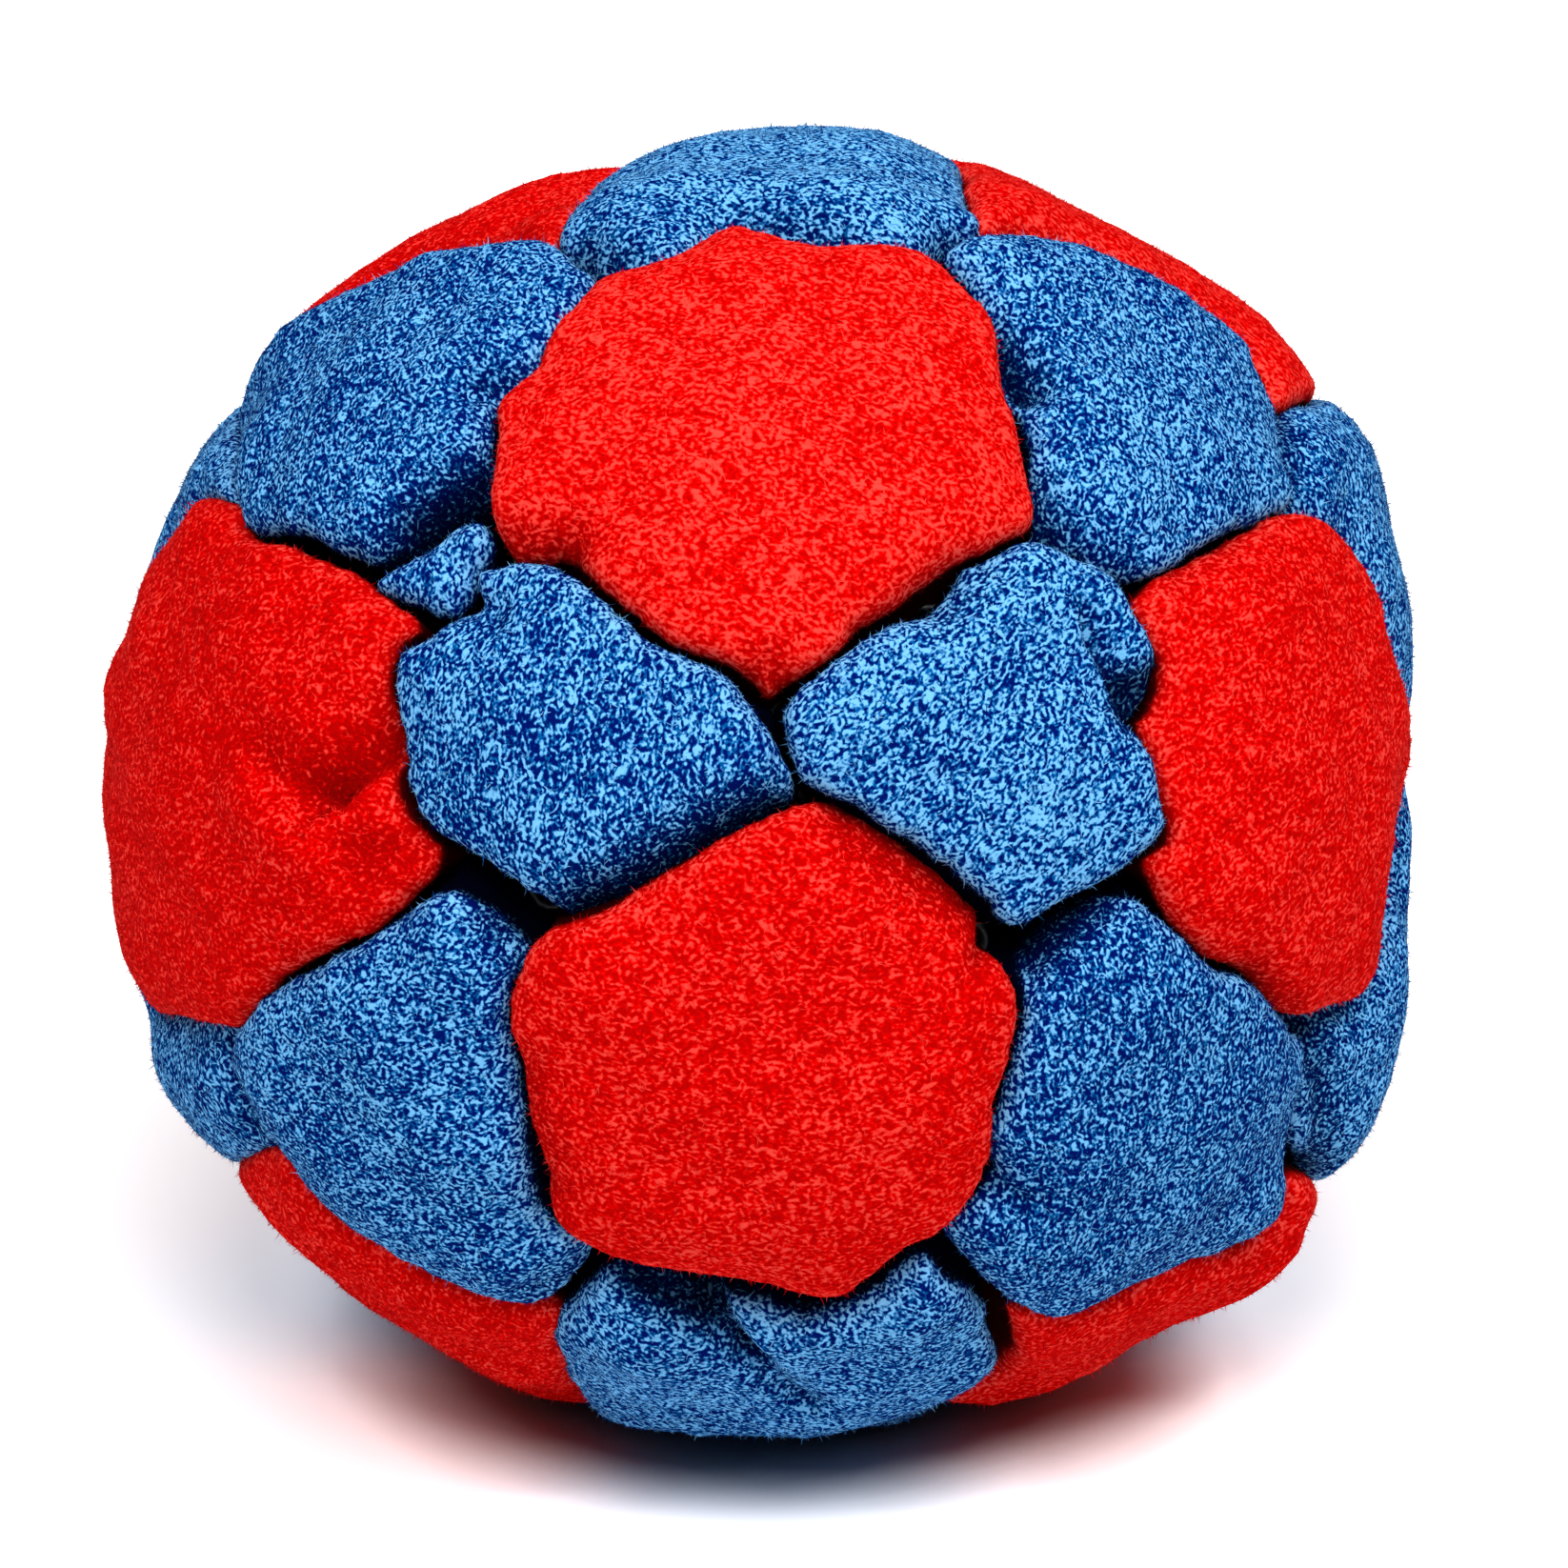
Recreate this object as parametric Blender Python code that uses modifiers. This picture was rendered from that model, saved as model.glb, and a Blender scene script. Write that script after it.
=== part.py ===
"""A sewn footbag, made as the real one is: twelve red and twenty blue suede panels with
turned-in seams, a thread that runs in the seams, and a loose grain fill inside. It rests
on the small flat foot that the floor presses into it. Metres, +Z up, origin in the foot."""

import math

import bmesh
import bpy
from mathutils import Matrix, Vector

# Driving sizes, in metres
BALL_RADIUS = 0.0270  # from the bag's centre to the crown of a panel
FOOT_DEPTH = 0.0020  # how much of the ball the floor presses flat
CLOTH_THICKNESS = 0.0007  # one layer of suede
CROWN_DROP = 0.0005  # from the crown of a panel down to its rolled edge
ROLL_WIDTH = 0.0012  # from the seam to where the rolled edge begins
LIP_DEPTH = 0.0008  # from the rolled edge down to the lip, where two panels come closest
LIP_GAP = 0.0003  # between the lips of two panels
CORNER_CUT = 0.0012  # how far from its corner a panel's outline starts to round
ALLOWANCE_DEPTH = 0.0022  # the seam allowance, turned in below the lip
THREAD_DIAMETER = 0.00035  # waxed thread
CLEARANCE = 0.0003  # from the cloth to the thread and to the fill

# Angles, in degrees: where the seam at the middle of the front looks
FRONT_RISE_DEG = 23.8
FRONT_TURN_DEG = 1.7
SHARP_DEG = 55.0

# Shares and counts
PENTAGON_SIDE_SHARE = 0.41  # of an icosahedron's edge, cut off at each of its ends
CROWN_RING_SHARES = (0.30, 0.62)  # of the way from the rolled edge to the middle of a panel
CROWN_POWER_SHARE = 2.5  # how soon the crown levels off above its rolled edge
LONG_SIDE_SHARE = 0.5  # of the longest side: what is longer than this is split
LONG_SIDE_CUT_COUNT = 1
ROW_SHARE = 0.01  # of the ball's radius: panels this close in height stand in one row

# What follows from the sizes
CENTRE_HEIGHT = BALL_RADIUS - FOOT_DEPTH
HALF_LIP_GAP = LIP_GAP / 2
THREAD_SINK = LIP_DEPTH + ALLOWANCE_DEPTH / 2
ALLOWANCE_SPLAY = THREAD_DIAMETER + 2 * CLEARANCE - LIP_GAP
FILL_SINK = LIP_DEPTH + ALLOWANCE_DEPTH + CLEARANCE
FILL_HALF_GROOVE = HALF_LIP_GAP + ALLOWANCE_SPLAY + CLOTH_THICKNESS + CLEARANCE
FILL_CROWN_SINK = CLOTH_THICKNESS + CLEARANCE

# Colour, roughness and metallic value of each material
FINISHES = {
    "red_suede": ((0.80, 0.022, 0.016, 1.0), 0.85, 0.0),
    "blue_suede": ((0.035, 0.150, 0.450, 1.0), 0.85, 0.0),
    "waxed_thread": ((0.030, 0.035, 0.050, 1.0), 0.55, 0.0),
    "grain": ((0.560, 0.440, 0.290, 1.0), 0.80, 0.0),
}


def clear_scene():
    """Remove every object that the startup scene holds."""
    for obj in list(bpy.data.objects):
        bpy.data.objects.remove(obj, do_unlink=True)


def material(name):
    """A Principled material with the finish of that name."""
    found = bpy.data.materials.get(name)
    if found:
        return found
    made = bpy.data.materials.new(name)
    made.use_nodes = True
    shader = made.node_tree.nodes["Principled BSDF"]
    colour, roughness, metallic = FINISHES[name]
    shader.inputs["Base Color"].default_value = colour
    shader.inputs["Roughness"].default_value = roughness
    shader.inputs["Metallic"].default_value = metallic
    made.diffuse_color = colour
    return made


def layout_turn(bm):
    """The turn that brings the seam between two neighbouring red panels to the front, one above the other."""
    upper, lower = (vert.co.normalized() for vert in next(iter(bm.edges)).verts)
    facing = (upper + lower).normalized()
    rise = (upper - lower).normalized()
    drawn = Matrix((rise.cross(facing), rise, facing)).transposed()
    tilt = math.radians(FRONT_RISE_DEG)
    turn = math.radians(FRONT_TURN_DEG)
    front = Vector((math.sin(turn) * math.cos(tilt), -math.cos(turn) * math.cos(tilt), math.sin(tilt)))
    right = Vector((math.cos(turn), math.sin(turn), 0))
    wanted = Matrix((right, front.cross(right), front)).transposed()
    return wanted @ drawn.inverted()


def panel_layout():
    """The 32 flat faces, centred on the bag: an icosahedron with each corner cut back to a pentagon."""
    bm = bmesh.new()
    bmesh.ops.create_icosphere(bm, subdivisions=1, radius=1)
    turn = layout_turn(bm)
    bmesh.ops.bevel(
        bm,
        geom=bm.verts[:],
        affect="VERTICES",
        offset_type="PERCENT",
        offset=100 * PENTAGON_SIDE_SHARE,
        segments=1,
    )
    for vert in bm.verts:
        vert.co = turn @ vert.co.normalized() * BALL_RADIUS
    bm.normal_update()
    bm.faces.ensure_lookup_table()
    return bm


def split_long_sides(bm):
    """Put a point in each long side, one that a pentagon shares, so that it can follow the ball."""
    limit = LONG_SIDE_SHARE * max(edge.calc_length() for edge in bm.edges)
    sides = [edge for edge in bm.edges if edge.calc_length() > limit]
    bmesh.ops.subdivide_edges(bm, edges=sides, cuts=LONG_SIDE_CUT_COUNT)


def surface_reach(direction, drop):
    """From the bag's centre to its surface, less a drop, and cut short where the floor is."""
    reach = BALL_RADIUS - drop
    if direction.z < 0:
        reach = min(reach, CENTRE_HEIGHT / -direction.z)
    return reach


def crown_drop(share):
    """How far the crown lies under its top, a share of the way from the rolled edge to the middle."""
    return CROWN_DROP * (1 - share) ** CROWN_POWER_SHARE


def push_out(verts, drop, sink=0.0):
    """Move points out to the bag's surface along their own directions, and then back in by a sink."""
    for vert in verts:
        direction = vert.co.normalized()
        vert.co = direction * (surface_reach(direction, drop) - sink)


def inset(bm, face, width):
    """Inset one face by an even width, and return its new outline and the frame of faces round it."""
    frame = bmesh.ops.inset_individual(bm, faces=[face], thickness=width, use_even_offset=True)
    return list(face.verts), frame["faces"]


def draw_in(verts, middle, share):
    """Move points a share of the way to the middle of their panel."""
    for vert in verts:
        vert.co = vert.co.lerp(middle, share)


def half_width(face):
    """From the middle of a flat face to its nearest side."""
    middle = face.calc_center_median_weighted()
    nearest = []
    for edge in face.edges:
        start, end = (vert.co for vert in edge.verts)
        along = (end - start).normalized()
        nearest.append(((middle - start) - (middle - start).dot(along) * along).length)
    return min(nearest)


def panel_mesh(layout, index):
    """The outside of one panel: a crowned face, a rolled edge, a lip, and the allowance turned in under it."""
    bm = layout.copy()
    bm.faces.ensure_lookup_table()
    others = [face for face in bm.faces if face.index != index]
    bmesh.ops.delete(bm, geom=others, context="FACES")
    reach = half_width(next(iter(bm.faces)))
    bmesh.ops.bevel(bm, geom=bm.verts[:], affect="VERTICES", offset=CORNER_CUT, segments=1)
    split_long_sides(bm)
    bm.faces.ensure_lookup_table()
    face = bm.faces[0]
    middle = face.calc_center_median_weighted()

    lip, waste = inset(bm, face, HALF_LIP_GAP)
    rolled_edge, _ = inset(bm, face, ROLL_WIDTH - HALF_LIP_GAP)
    crown_rings = [inset(bm, face, 0)[0] for _ in CROWN_RING_SHARES]
    crown = bmesh.ops.poke(bm, faces=[face])["verts"]
    bmesh.ops.delete(bm, geom=waste, context="FACES")

    rim = [edge for edge in bm.edges if edge.is_boundary]
    turned = bmesh.ops.extrude_edge_only(bm, edges=rim)["geom"]
    allowance = [item for item in turned if isinstance(item, bmesh.types.BMVert)]
    draw_in(allowance, middle, ALLOWANCE_SPLAY / reach)

    push_out(crown, 0)
    for ring, share in zip(crown_rings, CROWN_RING_SHARES):
        draw_in(ring, middle, share)
        push_out(ring, crown_drop(share))
    push_out(rolled_edge, CROWN_DROP)
    push_out(lip, CROWN_DROP, LIP_DEPTH)
    push_out(allowance, CROWN_DROP, LIP_DEPTH + ALLOWANCE_DEPTH)
    return bm


def fill_mesh(layout):
    """The grain as one body: it fills each panel's pocket and is grooved where the allowances stand in it."""
    bm = layout.copy()
    split_long_sides(bm)
    grooves, shoulders, crowns = bm.verts[:], [], []
    for face in bm.faces[:]:
        grooves += inset(bm, face, FILL_HALF_GROOVE)[0]
        shoulders += inset(bm, face, CLOTH_THICKNESS)[0]
        crowns += bmesh.ops.poke(bm, faces=[face])["verts"]
    push_out(grooves, CROWN_DROP, FILL_SINK)
    push_out(shoulders, CROWN_DROP, FILL_CROWN_SINK)
    push_out(crowns, 0, FILL_CROWN_SINK)
    bmesh.ops.recalc_face_normals(bm, faces=bm.faces[:])
    return bm


def thread_mesh(layout):
    """The seam lines, drawn tight from corner to corner and sunk to the middle of the allowances."""
    bm = layout.copy()
    push_out(bm.verts, CROWN_DROP, THREAD_SINK)
    return bm


def add_object(name, bm, finish, bag, collection):
    """Make an object of a mesh drawn round the bag's centre, and hang it on the bag."""
    mesh = bpy.data.meshes.new(name)
    bm.to_mesh(mesh)
    bm.free()
    mesh.shade_smooth()
    mesh.set_sharp_from_angle(angle=math.radians(SHARP_DEG))
    mesh.materials.append(material(finish))
    obj = bpy.data.objects.new(name, mesh)
    obj.parent = bag
    collection.objects.link(obj)
    return obj


def add_panel(layout, index, name, finish, bag, collection):
    """One sewn panel: its outside, thickened inwards to the cloth's real thickness."""
    panel = add_object(name, panel_mesh(layout, index), finish, bag, collection)
    cloth = panel.modifiers.new("cloth", "SOLIDIFY")
    cloth.thickness = CLOTH_THICKNESS
    cloth.offset = -1
    cloth.use_even_offset = True
    cloth.use_quality_normals = True
    return panel


def add_thread(layout, bag, collection):
    """The sewing thread: one closed net of seam runs, which meet wherever three panels do."""
    thread = add_object("seam_thread", thread_mesh(layout), "waxed_thread", bag, collection)
    strand = thread.modifiers.new("strand", "WIREFRAME")
    strand.thickness = THREAD_DIAMETER
    strand.use_even_offset = True
    strand.use_relative_offset = False
    return thread


def rows_from_foot(layout, sides):
    """The faces with that many sides, from the foot upwards and then round the bag."""
    found = []
    for face in layout.faces:
        if len(face.verts) != sides:
            continue
        middle = face.calc_center_median()
        row = round(middle.z / (ROW_SHARE * BALL_RADIUS))
        found.append((row, math.atan2(middle.x, -middle.y), face.index))
    return [index for _, _, index in sorted(found)]


def build_footbag():
    """Build the whole bag in its own collection, standing on the floor."""
    collection = bpy.data.collections.new("footbag")
    bpy.context.scene.collection.children.link(collection)
    bag = bpy.data.objects.new("bag_centre", None)
    bag.location = (0, 0, CENTRE_HEIGHT)
    collection.objects.link(bag)

    layout = panel_layout()
    for number, index in enumerate(rows_from_foot(layout, 5), 1):
        add_panel(layout, index, f"red_pentagon_{number:02d}", "red_suede", bag, collection)
    for number, index in enumerate(rows_from_foot(layout, 6), 1):
        add_panel(layout, index, f"blue_hexagon_{number:02d}", "blue_suede", bag, collection)
    add_thread(layout, bag, collection)
    add_object("grain_fill", fill_mesh(layout), "grain", bag, collection)
    layout.free()


clear_scene()
build_footbag()
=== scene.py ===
"""The looks of a sewn footbag: 32 suede panels with turned-in seams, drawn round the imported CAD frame.

Each panel is one surface over two parameters: round its outline, and from its middle out over the rolled
edge, down into the seam, round the cut edge of the allowance and back along the cloth's inside. Lengths are
in metres, +Z is up and the floor is at z = 0.
"""

import logging
import math
from dataclasses import dataclass, field, replace
from enum import Enum
from typing import NamedTuple

import bpy
import numpy as np
from mathutils import Matrix, Vector


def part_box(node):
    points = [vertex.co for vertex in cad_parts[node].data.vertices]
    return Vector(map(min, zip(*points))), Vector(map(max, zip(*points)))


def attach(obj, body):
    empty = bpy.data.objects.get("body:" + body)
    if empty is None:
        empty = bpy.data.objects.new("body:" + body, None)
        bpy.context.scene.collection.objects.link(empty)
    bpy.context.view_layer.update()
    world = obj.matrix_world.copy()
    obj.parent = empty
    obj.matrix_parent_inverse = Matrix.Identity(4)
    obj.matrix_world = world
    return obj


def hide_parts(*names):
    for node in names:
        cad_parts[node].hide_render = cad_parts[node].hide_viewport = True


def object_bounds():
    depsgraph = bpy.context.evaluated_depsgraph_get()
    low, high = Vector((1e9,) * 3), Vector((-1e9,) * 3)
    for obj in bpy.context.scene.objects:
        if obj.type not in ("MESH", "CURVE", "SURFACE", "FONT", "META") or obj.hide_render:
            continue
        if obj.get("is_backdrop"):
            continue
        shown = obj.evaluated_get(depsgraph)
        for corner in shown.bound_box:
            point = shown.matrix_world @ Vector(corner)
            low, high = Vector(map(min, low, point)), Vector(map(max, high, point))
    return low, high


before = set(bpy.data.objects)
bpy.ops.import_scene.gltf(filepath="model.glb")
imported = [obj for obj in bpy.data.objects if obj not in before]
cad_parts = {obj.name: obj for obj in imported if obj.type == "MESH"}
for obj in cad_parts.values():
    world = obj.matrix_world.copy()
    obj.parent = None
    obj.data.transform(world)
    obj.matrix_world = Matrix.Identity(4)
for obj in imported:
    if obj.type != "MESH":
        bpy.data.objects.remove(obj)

log = logging.getLogger("footbag")

Array = np.ndarray
MM = 0.001
PHI = (1 + math.sqrt(5)) / 2


class Px(NamedTuple):
    """A place in the photograph, in its own pixels."""

    x: float
    y: float


class Corner(NamedTuple):
    """The corner of the cut pattern that lies by red panel `near`, on the line to red panel `to`."""

    near: int
    to: int


class Bearing(NamedTuple):
    """A direction from the bag's centre, in degrees: how far round from its front, and how far up."""

    turn: float
    rise: float

    def direction(self) -> tuple[float, float, float]:
        """The same as a vector of length 1: (sin turn cos rise, -cos turn cos rise, sin rise)."""
        turn, rise = math.radians(self.turn), math.radians(self.rise)
        return math.sin(turn) * math.cos(rise), -math.cos(turn) * math.cos(rise), math.sin(rise)


def unit(vectors: Array) -> Array:
    """Give each row the length 1."""
    return vectors / np.linalg.norm(vectors, axis=-1, keepdims=True)


def rows(*arrays: Array) -> Array:
    """Stack arrays of points, one under the other."""
    return np.concatenate(arrays, axis=0)


@dataclass(frozen=True)
class RandomField:
    """A smooth random field in space: a sum of sine waves that run in random directions.

    Attributes:
        seed: The random seed, so that each run gives the same field.
        wavelength: The middle of the waves' lengths.
        count: How many waves are summed.
    """

    seed: int
    wavelength: float
    count: int = 28

    def at(self, points: Array) -> Array:
        """The field's value, mostly between -2 and 2.

        Args:
            points: Places, one a row.

        Returns:
            The square root of 2 / count, times the sum of sin(k . p + phase) over the waves.
        """
        draw = np.random.default_rng(self.seed)
        lengths = self.wavelength * draw.uniform(0.7, 1.5, self.count)
        waves = unit(draw.normal(size=(self.count, 3))) * (2 * np.pi / lengths)[:, None]
        phases = draw.uniform(0, 2 * np.pi, self.count)
        return np.sqrt(2 / self.count) * np.sin(points @ waves.T + phases).sum(axis=1)


@dataclass(frozen=True)
class PhotoView:
    """Where the photograph was taken from, and how its pixels meet the bag.

    Attributes:
        frame_px: The photograph's width and height.
        bag_px: Where the bag's centre lies in it.
        bag_radius_px: The bag's radius in it.
        rise_deg: How far the camera looks down.
        distance: From the camera to the bag's centre.
        sensor_mm: The width of the camera's sensor.
    """

    frame_px: int = 1646
    bag_px: Px = Px(807, 820)
    bag_radius_px: float = 697
    rise_deg: float = 21
    distance: float = 432 * MM
    sensor_mm: float = 36

    def axes(self) -> Array:
        """The view's own directions.

        Returns:
            Right, up and backward, one a row.
        """
        rise = math.radians(self.rise_deg)
        up = (0, math.sin(rise), math.cos(rise))
        backward = (0, -math.cos(rise), math.sin(rise))
        return np.array(((1, 0, 0), up, backward))

    def focal_px(self, radius: float) -> float:
        """The focal length in pixels at which a ball of that radius has the photographed outline."""
        return self.bag_radius_px * math.sqrt((self.distance / radius) ** 2 - 1)

    def directions(self, pixels: Array, radius: float, reaches: Array) -> Array:
        """Where the lines of sight through pixels first meet the bag, seen from its centre.

        The line of sight p(t) = eye + t d meets a ball of reach r where t = -e.d - sqrt((e.d)^2 - e.e + r^2).
        A line that misses the ball gives the outline's nearest direction.

        Args:
            pixels: The pixels, one a row.
            radius: The bag's radius.
            reaches: How far the surface is from the centre there, one for each pixel.

        Returns:
            Directions of length 1, one a row.
        """
        focal = self.focal_px(radius)
        across = pixels[:, 0] - self.bag_px.x
        upward = self.bag_px.y - pixels[:, 1]
        sight = unit(np.stack((across, upward, np.full(len(pixels), -focal)), axis=1))
        towards = self.distance * sight[:, 2]
        inside = np.maximum(towards**2 - self.distance**2 + reaches**2, 0)
        steps = -towards - np.sqrt(inside)
        met = np.array((0, 0, self.distance)) + steps[:, None] * sight
        return unit(met @ self.axes())

    def add_camera(self, centre: Vector, radius: float) -> None:
        """Put the camera where the photograph was taken from.

        Args:
            centre: The bag's centre.
            radius: The bag's radius.
        """
        right, up, backward = (Vector(axis) for axis in self.axes())
        focal = self.focal_px(radius)
        data = bpy.data.cameras.new("photo_camera")
        data.sensor_width = self.sensor_mm
        data.lens = focal / self.frame_px * self.sensor_mm
        data.clip_start = 10 * MM
        camera = bpy.data.objects.new("photo_camera", data)
        step = self.distance / focal
        aside = right * (self.frame_px / 2 - self.bag_px.x) * step
        below = up * (self.bag_px.y - self.frame_px / 2) * step
        turn = Matrix((right, up, backward)).transposed().to_4x4()
        camera.matrix_world = Matrix.Translation(centre + backward * self.distance + aside + below) @ turn
        bpy.context.scene.collection.objects.link(camera)
        bpy.context.scene.camera = camera


@dataclass(frozen=True)
class Swell:
    """A place where the filling stands out (or falls in, where rise is below zero).

    Attributes:
        place: Where it is in the photograph.
        rise: How far the surface stands out there, in millimetres.
        spread: How wide it is, in millimetres.
    """

    place: Px
    rise: float
    spread: float


# Round the outline: where the photographed bag departs from a ball
SWELLS = (
    Swell(Px(1335, 1290), 1.7, 5.5),
    Swell(Px(1290, 1400), 0.1, 4.0),
    Swell(Px(1150, 1455), 0.15, 5.0),
    Swell(Px(740, 1512), 0.3, 6.0),
    Swell(Px(1435, 430), 1.2, 4.5),
    Swell(Px(1275, 301), 0.4, 4.0),
    Swell(Px(1136, 200), -0.5, 4.5),
    Swell(Px(560, 165), -1.1, 4.2),
    Swell(Px(730, 124), -0.25, 4.0),
    Swell(Px(1490, 655), 0.3, 3.5),
    Swell(Px(1458, 1160), 0.9, 4.0),
    Swell(Px(1474, 1011), 0.4, 3.5),
    Swell(Px(1500, 722), -0.9, 2.2),
    Swell(Px(1500, 920), -1.4, 2.6),
    Swell(Px(1497, 830), -0.4, 3.0),
    Swell(Px(190, 1180), 0.45, 5.0),
    Swell(Px(165, 536), -0.45, 4.0),
    Swell(Px(148, 1060), 0.35, 4.0),
    Swell(Px(490, 215), -1.1, 5.0),
    Swell(Px(119, 674), 0.45, 5.0),
)


@dataclass(frozen=True)
class BagForm:
    """The bag's overall form: a slack ball with a flat foot.

    Attributes:
        view: The photograph's view, which the swells are placed by.
        radius: From the bag's centre to the crowns.
        centre_height: The centre's height over the floor.
        foot_round: How softly the ball turns into its foot.
        slack: How far the hidden sides wander from the ball.
        slack_length: How far apart those wanderings are.
        seed: The seed of the wandering.
    """

    view: PhotoView
    radius: float
    centre_height: float
    foot_round: float = 0.8 * MM
    slack: float = 0.16 * MM
    slack_length: float = 26 * MM
    seed: int = 11

    def centre(self) -> Vector:
        """The bag's centre."""
        return Vector((0, 0, self.centre_height))

    def reach(self, directions: Array) -> Array:
        """How far the crowns' surface is from the centre.

        The radius, plus a bell curve for each swell, plus a smooth random field, and then the smooth least
        of that and the distance to the floor.

        Args:
            directions: Directions from the centre, one a row.

        Returns:
            One reach for each direction.
        """
        wandering = RandomField(self.seed, self.slack_length).at(directions * self.radius)
        reach = self.radius + self.slack * wandering
        places = np.array([swell.place for swell in SWELLS], float)
        middles = self.view.directions(places, self.radius, np.full(len(places), self.radius))
        for middle, swell in zip(middles, SWELLS):
            apart = self.radius * np.linalg.norm(directions - middle, axis=1)
            reach = reach + swell.rise * MM * np.exp(-((apart / (swell.spread * MM)) ** 2))
        downward = np.maximum(-directions[:, 2], 0.05)
        floor = self.centre_height / downward
        share = np.clip(0.5 + 0.5 * (floor - reach) / self.foot_round, 0, 1)
        return floor + (reach - floor) * share - self.foot_round * share * (1 - share)

    def seen(self, pixels: list[Px], drop: float) -> Array:
        """The directions in which pixels of the photograph meet the bag, a drop below its crowns.

        Args:
            pixels: Places in the photograph.
            drop: How far below the crowns' surface the places lie.

        Returns:
            Directions of length 1, one a row.
        """
        places = np.array(pixels, float)
        found = self.view.directions(places, self.radius, np.full(len(places), self.radius - drop))
        for _ in range(2):
            found = self.view.directions(places, self.radius, self.reach(found) - drop)
        return found


# The red panels' directions in the pattern's own axes: right, up and front, as an icosahedron's corners
RED_DIRECTIONS = {
    1: (0, 1, PHI), 2: (0, -1, PHI), 3: (-PHI, 0, 1), 4: (PHI, 0, 1), 5: (-1, PHI, 0), 6: (1, PHI, 0),
    7: (-1, -PHI, 0), 8: (1, -PHI, 0), 9: (-PHI, 0, -1), 10: (PHI, 0, -1), 11: (0, 1, -PHI),
    12: (0, -1, -PHI),
}

# Where the photograph shows the ends of the seams
SEEN_CORNERS = {
    Corner(1, 2): Px(812, 738), Corner(2, 1): Px(852, 842), Corner(2, 3): Px(562, 968),
    Corner(3, 2): Px(458, 905), Corner(2, 4): Px(1058, 990), Corner(4, 2): Px(1214, 914),
    Corner(1, 3): Px(512, 575), Corner(3, 1): Px(436, 662), Corner(1, 4): Px(1098, 552),
    Corner(4, 1): Px(1198, 620), Corner(1, 5): Px(630, 276), Corner(5, 1): Px(582, 247),
    Corner(1, 6): Px(985, 262), Corner(6, 1): Px(1032, 238), Corner(3, 5): Px(243, 538),
    Corner(4, 6): Px(1365, 530), Corner(6, 4): Px(1348, 424), Corner(3, 7): Px(243, 1084),
    Corner(7, 3): Px(282, 1210), Corner(4, 8): Px(1372, 1075), Corner(8, 4): Px(1352, 1218),
    Corner(2, 7): Px(612, 1322), Corner(7, 2): Px(585, 1386), Corner(2, 8): Px(992, 1306),
    Corner(8, 2): Px(1060, 1398), Corner(7, 8): Px(650, 1507), Corner(8, 7): Px(975, 1478),
    Corner(5, 3): Px(257, 402),
}

# Where seams that it shows in part end, just out of its sight
NEAR_CORNERS = {
    Corner(3, 9): Bearing(-97, -3), Corner(9, 3): Bearing(-107, -5), Corner(5, 6): Bearing(-155, 63),
    Corner(6, 5): Bearing(157, 62.5),
}

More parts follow.
